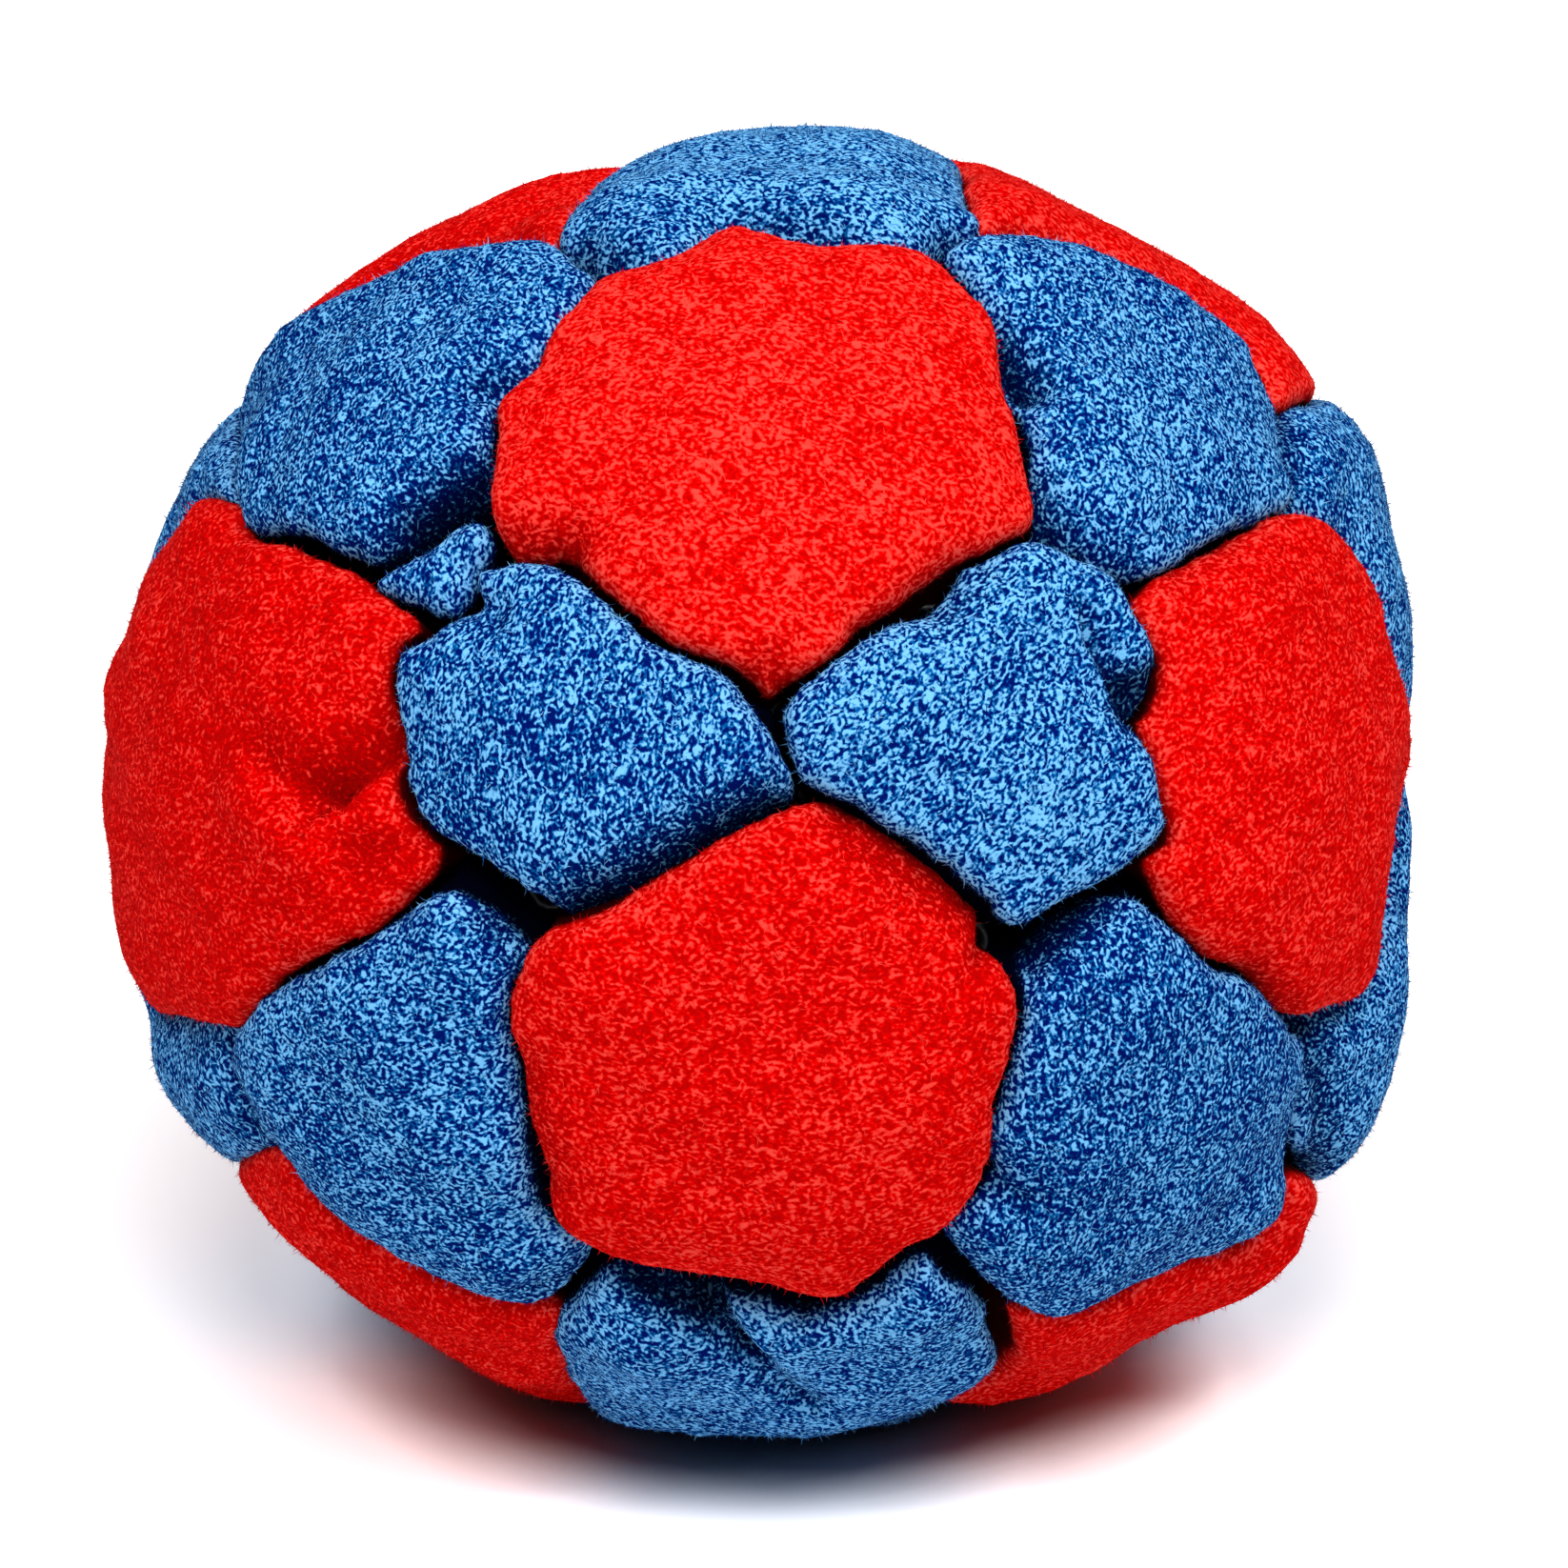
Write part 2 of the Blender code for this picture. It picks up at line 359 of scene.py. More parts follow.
# The outlines that the photograph shows, round each panel. A Corner stands where the panel runs out of sight
OUTLINES = {
    (1,): (
        Px(614, 293), Px(652, 275), Px(700, 262), Px(765, 234), Px(795, 236), Px(850, 251), Px(940, 255),
        Px(975, 265), Px(1012, 290), Px(1046, 330), Px(1056, 390), Px(1078, 455), Px(1093, 515),
        Px(1088, 550), Px(1052, 566), Px(995, 595), Px(905, 662), Px(850, 706), Px(808, 730), Px(778, 702),
        Px(700, 672), Px(620, 603), Px(585, 577), Px(528, 581), Px(512, 525), Px(514, 460), Px(521, 412),
        Px(562, 372),
    ),
    (2,): (
        Px(837, 849), Px(882, 846), Px(936, 876), Px(990, 914), Px(1044, 962), Px(1040, 1003),
        Px(1062, 1020), Px(1078, 1065), Px(1057, 1145), Px(1042, 1222), Px(1028, 1262), Px(990, 1300),
        Px(958, 1311), Px(922, 1342), Px(897, 1362), Px(860, 1369), Px(800, 1359), Px(700, 1340),
        Px(618, 1316), Px(578, 1287), Px(560, 1225), Px(540, 1140), Px(530, 1070), Px(545, 1012),
        Px(575, 980), Px(640, 955), Px(729, 899), Px(785, 868),
    ),
    (3,): (
        Px(205, 527), Px(241, 526), Px(252, 556), Px(345, 588), Px(413, 634), Px(432, 657), Px(408, 684),
        Px(405, 745), Px(412, 835), Px(429, 875), Px(450, 897), Px(440, 933), Px(380, 980), Px(300, 1025),
        Px(262, 1062), Px(243, 1083), Px(198, 1071), Px(152, 1048), Corner(3, 9), Px(128, 660),
        Px(160, 592),
    ),
    (4,): (
        Px(1372, 534), Px(1412, 562), Px(1440, 615), Px(1466, 692), Px(1479, 760), Corner(4, 10),
        Px(1466, 888), Px(1458, 972), Px(1444, 1022), Px(1424, 1050), Px(1378, 1071), Px(1354, 1066),
        Px(1322, 1030), Px(1280, 1008), Px(1240, 972), Px(1211, 912), Px(1236, 880), Px(1224, 815),
        Px(1210, 765), Px(1222, 735), Px(1227, 690), Px(1198, 633), Px(1228, 602), Px(1290, 568),
        Px(1345, 540),
    ),
    (5,): (
        Px(575, 246), Px(530, 253), Px(472, 273), Px(402, 288), Px(340, 325), Px(288, 361), Corner(5, 3),
        Corner(5, 9), Corner(5, 11), Corner(5, 6), Px(620, 180), Px(600, 218),
    ),
    (6,): (
        Px(1036, 235), Px(1022, 198), Px(1004, 165), Corner(6, 5), Corner(6, 11), Corner(6, 10),
        Px(1382, 414), Px(1344, 424), Px(1328, 394), Px(1290, 350), Px(1249, 316), Px(1200, 287),
        Px(1110, 248),
    ),
    (7,): (
        Px(285, 1212), Px(330, 1262), Px(410, 1317), Px(490, 1358), Px(580, 1382), Px(588, 1420),
        Px(612, 1470), Corner(7, 8), Corner(7, 12), Corner(7, 9), Px(244, 1222),
    ),
    (8,): (
        Px(1352, 1222), Px(1385, 1250), Corner(8, 10), Corner(8, 12), Corner(8, 7), Px(1000, 1470),
        Px(1052, 1450), Px(1072, 1415), Px(1066, 1388), Px(1085, 1382), Px(1150, 1376), Px(1235, 1328),
        Px(1300, 1285), Px(1338, 1238),
    ),
    (1, 2, 3): (
        Px(500, 590), Px(571, 588), Px(616, 612), Px(660, 652), Px(699, 679), Px(756, 704), Px(792, 742),
        Px(818, 785), Px(840, 829), Px(812, 880), Px(748, 912), Px(675, 965), Px(602, 976), Px(559, 943),
        Px(500, 905), Px(440, 868), Px(421, 815), Px(412, 745), Px(414, 684), Px(444, 662), Px(474, 640),
        Px(494, 628), Px(488, 606),
    ),
    (1, 2, 4): (
        Px(1058, 572), Px(1088, 561), Px(1131, 579), Px(1175, 605), Px(1196, 640), Px(1222, 682),
        Px(1226, 712), Px(1212, 745), Px(1200, 764), Px(1212, 800), Px(1224, 838), Px(1231, 876),
        Px(1200, 904), Px(1128, 953), Px(1068, 974), Px(1040, 946), Px(1000, 915), Px(955, 884),
        Px(900, 849), Px(850, 829), Px(832, 785), Px(825, 749), Px(850, 715), Px(935, 650), Px(985, 634),
        Px(1025, 592),
    ),
    (1, 3, 5): (
        Px(472, 275), Px(530, 255), Px(575, 250), Px(605, 267), Px(622, 285), Px(590, 330), Px(545, 392),
        Px(516, 413), Px(509, 460), Px(498, 500), Px(464, 522), Px(418, 548), Px(376, 582), Px(348, 576),
        Px(310, 558), Px(252, 553), Px(242, 511), Px(242, 466), Px(247, 434), Px(261, 402), Px(290, 364),
        Px(340, 327), Px(403, 290),
    ),
    (1, 4, 6): (
        Px(996, 258), Px(1035, 237), Px(1085, 243), Px(1150, 265), Px(1225, 302), Px(1285, 350),
        Px(1325, 399), Px(1346, 432), Px(1356, 490), Px(1362, 527), Px(1310, 550), Px(1250, 582),
        Px(1200, 601), Px(1155, 582), Px(1112, 556), Px(1104, 525), Px(1086, 455), Px(1062, 385),
        Px(1050, 330), Px(1025, 288),
    ),
    (1, 5, 6): (
        Px(583, 246), Px(606, 208), Px(622, 175), Corner(5, 6), Corner(6, 5), Px(1002, 166), Px(1018, 200),
        Px(1033, 234), Px(996, 250), Px(980, 263), Px(900, 254), Px(840, 243), Px(775, 232), Px(700, 262),
        Px(648, 272),
    ),
    (2, 3, 7): (
        Px(458, 938), Px(502, 960), Px(543, 1008), Px(527, 1048), Px(526, 1095), Px(542, 1170),
        Px(562, 1283), Px(598, 1310), Px(612, 1330), Px(598, 1358), Px(560, 1380), Px(490, 1362),
        Px(405, 1317), Px(325, 1262), Px(288, 1208), Px(250, 1148), Px(233, 1110), Px(262, 1062),
        Px(300, 1030), Px(400, 975),
    ),
    (2, 4, 8): (
        Px(1195, 945), Px(1222, 960), Px(1282, 1017), Px(1318, 1034), Px(1360, 1075), Px(1379, 1098),
        Px(1374, 1148), Px(1352, 1210), Px(1330, 1250), Px(1290, 1292), Px(1195, 1353), Px(1115, 1385),
        Px(1050, 1368), Px(1016, 1336), Px(999, 1300), Px(1030, 1268), Px(1052, 1250), Px(1045, 1200),
        Px(1074, 1115), Px(1086, 1050), Px(1102, 1014), Px(1145, 968),
    ),
    (2, 7, 8): (
        Px(614, 1362), Px(641, 1350), Px(682, 1357), Px(708, 1370), Px(734, 1389), Px(752, 1391),
        Px(768, 1380), Px(804, 1381), Px(836, 1389), Px(864, 1388), Px(900, 1375), Px(932, 1357),
        Px(960, 1336), Px(980, 1332), Px(996, 1354), Px(1026, 1368), Px(1044, 1390), Px(1040, 1408),
        Px(1052, 1434), Px(1005, 1466), Corner(8, 7), Corner(7, 8), Px(618, 1484), Px(588, 1436),
        Px(578, 1398),
    ),
    (3, 5, 9): (
        Px(246, 432), Px(240, 470), Px(241, 524), Px(205, 528), Px(158, 590), Px(128, 655), Corner(3, 9),
        Corner(9, 3), Corner(9, 5), Corner(5, 9), Corner(5, 3),
    ),
    (4, 6, 10): (
        Px(1350, 428), Px(1392, 413), Corner(6, 10), Corner(10, 6), Corner(10, 4), Px(1481, 780),
        Px(1468, 700), Px(1442, 615), Px(1412, 562), Px(1368, 530), Px(1356, 480),
    ),
    (3, 7, 9): (
        Px(142, 1042), Px(200, 1073), Px(243, 1085), Px(236, 1120), Px(262, 1175), Px(281, 1208),
        Px(242, 1226), Corner(7, 9), Corner(9, 7), Corner(9, 3), Corner(3, 9),
    ),
    (4, 8, 10): (
        Px(1469, 950), Px(1443, 1028), Px(1418, 1056), Px(1384, 1080), Px(1377, 1140), Px(1362, 1198),
        Px(1372, 1226), Px(1390, 1241), Corner(8, 10), Corner(10, 8), Corner(10, 4), Corner(4, 10),
    ),
}


@dataclass(frozen=True)
class Tuck:
    """A fold of a panel's cloth that stands up beside it, between its neighbours.

    Attributes:
        panel: The red panels that its panel lies among.
        outline: Its outline in the photograph.
        lowered: How far it lies below the crowns.
    """

    panel: tuple[int, ...]
    outline: tuple[Px, ...]
    lowered: float


TUCKS = (
    Tuck(
        (1, 2, 3),
        (
            Px(384, 610), Px(408, 588), Px(440, 567), Px(470, 546), Px(496, 543), Px(508, 562),
            Px(494, 592), Px(485, 618), Px(464, 640), Px(436, 640), Px(405, 627),
        ),
        0.32 * MM,
    ),
)


class Fold(Enum):
    """The cross-section of a dent or ridge in the suede."""

    SOFT = "a bell curve"
    CREASED = "a bell curve with a sharp middle"
    SLOPED = "two straight slopes"

    def profile(self, apart: Array) -> Array:
        """How much of the depth is left beside the line: 1 - x, or e to the -x^2 or the -x^1.15.

        Args:
            apart: Distances x from the line, in widths.

        Returns:
            One share for each distance.
        """
        if self is Fold.SLOPED:
            return np.clip(1 - apart, 0, 1)
        return np.exp(-(apart ** (2.0 if self is Fold.SOFT else 1.15)))


@dataclass(frozen=True)
class Dent:
    """A fold pressed into a panel, or standing out of it where depth is below zero.

    Attributes:
        start: Where the fold's line starts in the photograph.
        end: Where it ends.
        width: How wide the fold is, in millimetres.
        depth: How deep it is, in millimetres.
        fold: Its cross-section.
        lean: How many times as wide it is to the left of its line, as someone walking along it would see.
        shade: How many times as much painted shade its nap gets as in a plain fold of that depth.
    """

    start: Px
    end: Px
    width: float
    depth: float
    fold: Fold = Fold.SOFT
    lean: float = 1.0
    shade: float = 1.0


# Each fold also darkens the nap in it by its depth and its shade: painted shade
DENTS = {
    # The left red panel: its hollow, the creases there and the ridge under them
    (3,): (
        Dent(Px(356, 842), Px(414, 786), 0.6, 0.90, Fold.SLOPED, 4.6, 1.1),
        Dent(Px(285, 800), Px(335, 836), 1.0, 0.42, Fold.SLOPED, 2.4, 1.1),
        Dent(Px(264, 835), Px(345, 905), 1.2, -0.45),
        Dent(Px(365, 905), Px(430, 885), 1.1, 0.45),
        Dent(Px(395, 840), Px(410, 860), 1.2, -0.25),
    ),
    # The centre right panel: the pucker and the lobe at its right
    (1, 2, 4): (
        Dent(Px(1140, 664), Px(1190, 756), 0.35, 0.9, Fold.SLOPED, 4.5, 1.2),
        Dent(Px(1188, 742), Px(1222, 712), 1.2, 0.5, shade=3.8),
        Dent(Px(1172, 632), Px(1205, 668), 1.0, -0.30),
        Dent(Px(1160, 775), Px(1190, 820), 1.8, -0.30),
        Dent(Px(1040, 596), Px(990, 640), 0.9, 0.5),
    ),
    # The centre left panel sinks along the lower red one
    (1, 2, 3): (
        Dent(Px(625, 972), Px(812, 872), 1.9, 1.8),
        Dent(Px(470, 640), Px(520, 645), 0.8, 0.30),
        Dent(Px(760, 720), Px(812, 800), 1.5, -0.25),
    ),
    # The upper left panel: the fold at its lower right, and its full upper edge
    (1, 3, 5): (
        Dent(Px(430, 550), Px(510, 492), 1.3, 1.6, shade=1.3),
        Dent(Px(500, 405), Px(540, 400), 0.9, 0.8),
        Dent(Px(366, 582), Px(385, 588), 1.1, 0.6),
        Dent(Px(470, 440), Px(500, 470), 1.4, -0.25),
        Dent(Px(320, 355), Px(455, 292), 1.8, -0.45),
        Dent(Px(455, 292), Px(545, 268), 1.5, -0.45),
    ),
    # The upper right panel: the pucker at its left, and its full upper edge
    (1, 4, 6): (
        Dent(Px(1056, 345), Px(1088, 398), 0.95, 1.6),
        Dent(Px(1100, 510), Px(1115, 548), 0.9, 0.8),
        Dent(Px(1120, 560), Px(1190, 595), 1.0, 0.6),
        Dent(Px(1150, 285), Px(1290, 365), 1.6, -0.40),
    ),
    # The upper red panel: its lower corners sink, and its top edge is full
    (1,): (
        Dent(Px(528, 572), Px(590, 572), 1.2, 0.8),
        Dent(Px(800, 735), Px(812, 715), 1.3, 0.7),
        Dent(Px(1000, 600), Px(910, 662), 0.7, 0.35),
        Dent(Px(780, 250), Px(930, 278), 1.4, -0.20),
    ),
    # The lower red panel: it sinks under its upper right neighbour, and has a notch beside it
    (2,): (
        Dent(Px(890, 852), Px(1040, 962), 1.3, 1.5, shade=0.5),
        Dent(Px(610, 985), Px(820, 872), 1.1, -0.30),
        Dent(Px(1048, 1003), Px(1036, 1012), 0.6, 0.55),
        Dent(Px(545, 1130), Px(572, 1250), 1.3, 0.45),
        Dent(Px(860, 1340), Px(990, 1290), 1.6, -0.15),
    ),
    # The top left red panel lies low behind its neighbour
    (5,): (
        Dent(Px(250, 420), Px(400, 275), 3.0, 0.8, shade=0.3),
        Dent(Px(400, 275), Px(560, 225), 2.0, 0.6, shade=0.3),
        Dent(Px(455, 262), Px(560, 240), 1.2, 0.4, shade=0.5),
    ),
    # The top panel sinks behind the upper red one
    (1, 5, 6): (
        Dent(Px(770, 232), Px(880, 250), 1.2, 0.9),
        Dent(Px(600, 255), Px(660, 274), 1.1, 1.1),
        Dent(Px(985, 262), Px(1010, 245), 0.9, 0.9),
    ),
    # The bottom panel: it sinks under the lower red one, with a fold that runs down from there
    (2, 7, 8): (
        Dent(Px(664, 1354), Px(742, 1390), 0.85, 0.9, shade=2.4),
        Dent(Px(736, 1390), Px(783, 1424), 0.6, 1.2, Fold.SLOPED, 2.4, 1.2),
        Dent(Px(783, 1424), Px(846, 1465), 0.7, 0.7, Fold.SLOPED, 2.2, 1.2),
        Dent(Px(655, 1400), Px(715, 1430), 1.5, -0.30),
        Dent(Px(830, 1405), Px(970, 1375), 1.3, -0.30),
    ),
    # The lower left panel sinks at its right corners
    (2, 3, 7): (
        Dent(Px(612, 1335), Px(560, 1358), 0.9, 0.6),
        Dent(Px(510, 975), Px(540, 1010), 1.0, 0.8),
    ),
    # The lower right panel sinks under the centre right one and at its left corners
    (2, 4, 8): (
        Dent(Px(1052, 1252), Px(1080, 1262), 0.7, 0.6, Fold.CREASED),
        Dent(Px(1090, 1012), Px(1160, 950), 1.0, 1.9),
        Dent(Px(1000, 1310), Px(1040, 1362), 1.0, 0.4),
    ),
    # The bottom right red panel: the ridge along its edge
    (8,): (
        Dent(Px(1040, 1462), Px(1340, 1300), 0.8, -0.35),
    ),
    # The bottom left red panel: the ridge along its edge
    (7,): (
        Dent(Px(300, 1275), Px(560, 1440), 0.9, -0.25),
    ),
    # The right red panel sinks at its top and its foot
    (4,): (
        Dent(Px(1300, 552), Px(1240, 590), 0.9, 0.4),
        Dent(Px(1320, 1030), Px(1360, 1060), 0.9, 0.4),
    ),
    # The panels at the right of the view sink behind the right red one
    (4, 6, 10): (
        Dent(Px(1490, 770), Px(1488, 840), 2.0, 1.0),
        Dent(Px(1352, 435), Px(1368, 522), 0.8, 0.5, shade=1.6),
    ),
    (4, 8, 10): (
        Dent(Px(1488, 840), Px(1484, 925), 2.0, 1.0),
        Dent(Px(1385, 1085), Px(1430, 1055), 1.0, 0.9),
        Dent(Px(1388, 1095), Px(1362, 1235), 1.0, 0.7, shade=1.6),
    ),
    # The panel at the lower left of the view sinks behind its neighbours
    (3, 7, 9): (
        Dent(Px(150, 1060), Px(240, 1092), 1.1, 0.7),
        Dent(Px(240, 1110), Px(262, 1190), 0.9, 0.6, shade=1.6),
    ),
}


# How far each panel's nap lies to its pale side (above zero) or its deep side: partly its brushing, and
# partly painted light, with the top panels paler and the left-hand ones deeper as the light fell on them
BRUSH_AND_LIGHT_TONES = {
    (1,): 0.09, (2,): -0.03, (3,): -0.13, (4,): -0.04, (7,): -0.13, (8,): -0.06,
    (1, 2, 3): -0.06, (1, 2, 4): 0.03, (1, 3, 5): -0.09, (1, 4, 6): -0.03, (1, 5, 6): 0.07,
    (2, 3, 7): -0.05, (2, 4, 8): -0.11, (2, 7, 8): 0.01,
}


@dataclass(frozen=True)
class CutPattern:
    """The cut pattern on the bag: where the 32 panels' corners lie.

    Attributes:
        form: The bag's form.
        front_rise_deg: How far the middle of the pattern's front looks up.
        front_turn_deg: How far it is turned to the right.
        side_share: How far along the line between two red panels the nearer one's corner lies.
        seam_drop: How far the seams' upper edges lie below the crowns.
        stray: How far the hidden corners stray from the pattern.
        seed: The seed of the straying.
    """

    form: BagForm
    front_rise_deg: float = 23.8
    front_turn_deg: float = 1.7
    side_share: float = 0.41
    seam_drop: float = 0.6 * MM
    stray: float = 0.45 * MM
    seed: int = 5

    def reds(self) -> dict[int, Array]:
        """Turn the pattern's own axes to where the photograph shows its front.

        Returns:
            The red panels' directions, by number.
        """
        turn = math.radians(self.front_turn_deg)
        right = np.array((math.cos(turn), math.sin(turn), 0))
        front = np.array(Bearing(self.front_turn_deg, self.front_rise_deg).direction())
        axes = np.array((right, np.cross(front, right), front))
        return {number: unit(np.array(place)) @ axes for number, place in RED_DIRECTIONS.items()}

    def neighbours(self) -> dict[int, list[int]]:
        """Which red panels are neighbours.

        Returns:
            For each red panel, the five nearest to it.
        """
        reds = self.reds()
        limit = 1 / PHI**2
        return {a: [b for b in reds if b != a and reds[a] @ reds[b] > limit] for a in reds}

    def corners(self) -> dict[Corner, Array]:
        """Where each corner is: as photographed, or else as cut, strayed a little.

        As cut, it lies a share of the way along the line from its own red panel to the next.

        Returns:
            The corners' directions.
        """
        reds = self.reds()
        draw = np.random.default_rng(self.seed)
        found = {}
        for near, others in self.neighbours().items():
            for to in others:
                straight = reds[near] * (1 - self.side_share) + reds[to] * self.side_share
                astray = draw.normal(size=3) * self.stray / self.form.radius
                found[Corner(near, to)] = unit(unit(straight) + astray)
        places = self.form.seen(list(SEEN_CORNERS.values()), self.seam_drop)
        found.update(zip(SEEN_CORNERS, places))
        found.update({corner: np.array(bearing.direction()) for corner, bearing in NEAR_CORNERS.items()})
        return found

    def panels(self) -> list[tuple[int, ...]]:
        """Name the 32 panels.

        Returns:
            Every panel's key: one red panel's number, or those of the three that a blue one lies among.
        """
        near = self.neighbours()
        keys: list[tuple[int, ...]] = [(red,) for red in near]
        for a in near:
            keys += [(a, b, c) for b in near[a] for c in near[a] if a < b < c and c in near[b]]
        return keys

    def corners_of(self, key: tuple[int, ...]) -> list[Corner]:
        """Find a panel's corners.

        Args:
            key: The panel's key.

        Returns:
            Its five or six corners, in no order.
        """
        if len(key) == 1:
            return [Corner(key[0], to) for to in self.neighbours()[key[0]]]
        return [Corner(a, b) for a in key for b in key if a != b]

    def seams(self) -> list[tuple[Corner, Corner]]:
        """Find the 90 seams.

        Returns:
            Each seam's two corners, first for those between two blue panels.
        """
        near = self.neighbours()
        short = [(Corner(a, b), Corner(b, a)) for a in near for b in near[a] if a < b]
        long = [
            (Corner(a, b), Corner(a, c))
            for a in near for b in near[a] for c in near[a] if b < c and c in near[b]
        ]
        return short + long


def smooth_loop(points: Array, count: int) -> Array:
    """A closed smooth curve through points in a plane, cut into equal steps.

    Between two points p1 and p2 it is the Catmull-Rom curve, half of
    2 p1 + (p2 - p0) t + (2 p0 - 5 p1 + 4 p2 - p3) t^2 + (3 p1 - p0 - 3 p2 + p3) t^3.

    Args:
        points: The points that the curve passes, one a row.
        count: How many points the result has.

    Returns:
        The curve's points, one a row.
    """
    before, after, beyond = (np.roll(points, step, axis=0) for step in (1, -1, -2))
    t = np.linspace(0, 1, 24, endpoint=False)[None, :, None]
    p0, p1, p2, p3 = (array[:, None, :] for array in (before, points, after, beyond))
    curve = 0.5 * (
        2 * p1 + (p2 - p0) * t + (2 * p0 - 5 * p1 + 4 * p2 - p3) * t**2 + (3 * p1 - p0 - 3 * p2 + p3) * t**3
    )
    dense = curve.reshape(-1, 2)
    closed = rows(dense, dense[:1])
    along = np.concatenate(([0], np.cumsum(np.linalg.norm(np.diff(closed, axis=0), axis=1))))
    wanted = np.linspace(0, along[-1], count, endpoint=False)
    return np.stack([np.interp(wanted, along, closed[:, axis]) for axis in (0, 1)], axis=1)


def to_loop(points: Array, loop: Array) -> Array:
    """The distance from points to the nearest part of a closed loop in a plane.

    For each side from a to b it is the length of p - a - (b - a) t, with t = (p - a).(b - a) / |b - a|^2
    kept between 0 and 1, and the result is the least over the sides.

    Args:
        points: Places in the plane, one a row.
        loop: The loop's corners, one a row.

    Returns:
        One distance for each point.
    """
    sides = np.roll(loop, -1, axis=0) - loop
    offset = points[:, None, :] - loop[None, :, :]
    t = np.clip((offset * sides).sum(axis=2) / (sides**2).sum(axis=1), 0, 1)
    return np.linalg.norm(offset - t[:, :, None] * sides, axis=2).min(axis=1)


def to_segment(points: Array, start: Array, end: Array) -> Array:
    """The distance from points in space to the stretch between two places.

    It is the length of p - a - (b - a) t, with t = (p - a).(b - a) / |b - a|^2 kept between 0 and 1.

    Args:
        points: The points, one a row.
        start: Where the stretch starts.
        end: Where it ends.

    Returns:
        One distance for each point.
    """
    side = end - start
    t = np.clip((points - start) @ side / max(side @ side, 1e-12), 0, 1)
    return np.linalg.norm(points - start - t[:, None] * side, axis=1)


def ring_quads(rings: int, steps: int) -> Array:
    """The faces between closed rings of points, numbered one ring after the other.

    The face of ring r and step s has the corners (r, s), (r + 1, s), (r + 1, s + 1) and (r, s + 1), where
    the step after the last is the first.

    Args:
        rings: How many rings there are.
        steps: How many points each has.

    Returns:
        The numbers of a face's four points in each row.
    """
    ring, step = np.meshgrid(np.arange(rings - 1), np.arange(steps), indexing="ij")
    here, there, after = ring * steps, (ring + 1) * steps, (step + 1) % steps
    return np.stack((here + step, there + step, there + after, here + after), axis=2).reshape(-1, 4)


def closed_faces(rings: int, steps: int) -> list[Array]:
    """The faces of rings of points that one point before the first and one after the last close.

    Args:
        rings: How many rings there are.
        steps: How many points each has.

    Returns:
        The faces between the rings, then those round the first point and those round the last.
    """
    first, last = np.arange(steps), 1 + (rings - 1) * steps
    second = (first + 1) % steps
    start = np.stack((np.zeros(steps, int), 1 + first, 1 + second), axis=1)
    end = np.stack((np.full(steps, 1 + rings * steps), last + second, last + first), axis=1)
    return [1 + ring_quads(rings, steps), start, end]


def turned_over(faces: Array) -> Array:
    """The same faces, seen from their other side."""
    return np.roll(faces[:, ::-1], 1, axis=1)


def add_mesh(name: str, points: Array, faces: list[Array], material: bpy.types.Material) -> bpy.types.Object:
    """Make an object of points and faces, smooth and with one material.

    Args:
        name: The object's name.
        points: The points, one a row.
        faces: Arrays of faces, each with as many columns as its faces have corners.
        material: What it is made of.

    Returns:
        The object, linked to the scene.
    """
    mesh = bpy.data.meshes.new(name)
    corners = np.concatenate([block.ravel() for block in faces])
    sizes = np.concatenate([np.full(len(block), block.shape[1]) for block in faces])
    mesh.vertices.add(len(points))
    mesh.vertices.foreach_set("co", points.ravel())
    mesh.loops.add(len(corners))
    mesh.loops.foreach_set("vertex_index", corners)
    mesh.polygons.add(len(sizes))
    mesh.polygons.foreach_set("loop_start", np.cumsum(sizes) - sizes)
    mesh.update(calc_edges=True)
    mesh.shade_smooth()
    mesh.materials.append(material)
    obj = bpy.data.objects.new(name, mesh)
    bpy.context.scene.collection.objects.link(obj)
    return obj


def set_attribute(obj: bpy.types.Object, name: str, values: Array) -> None:
    """Give each point of an object a number or a vector.

    Args:
        obj: The object.
        name: The attribute's name.
        values: One number for each point, or three columns for vectors.
    """
    kind, key = ("FLOAT_VECTOR", "vector") if values.ndim == 2 else ("FLOAT", "value")
    made = obj.data.attributes.new(name, kind, "POINT")
    made.data.foreach_set(key, values.astype(np.float32).ravel())


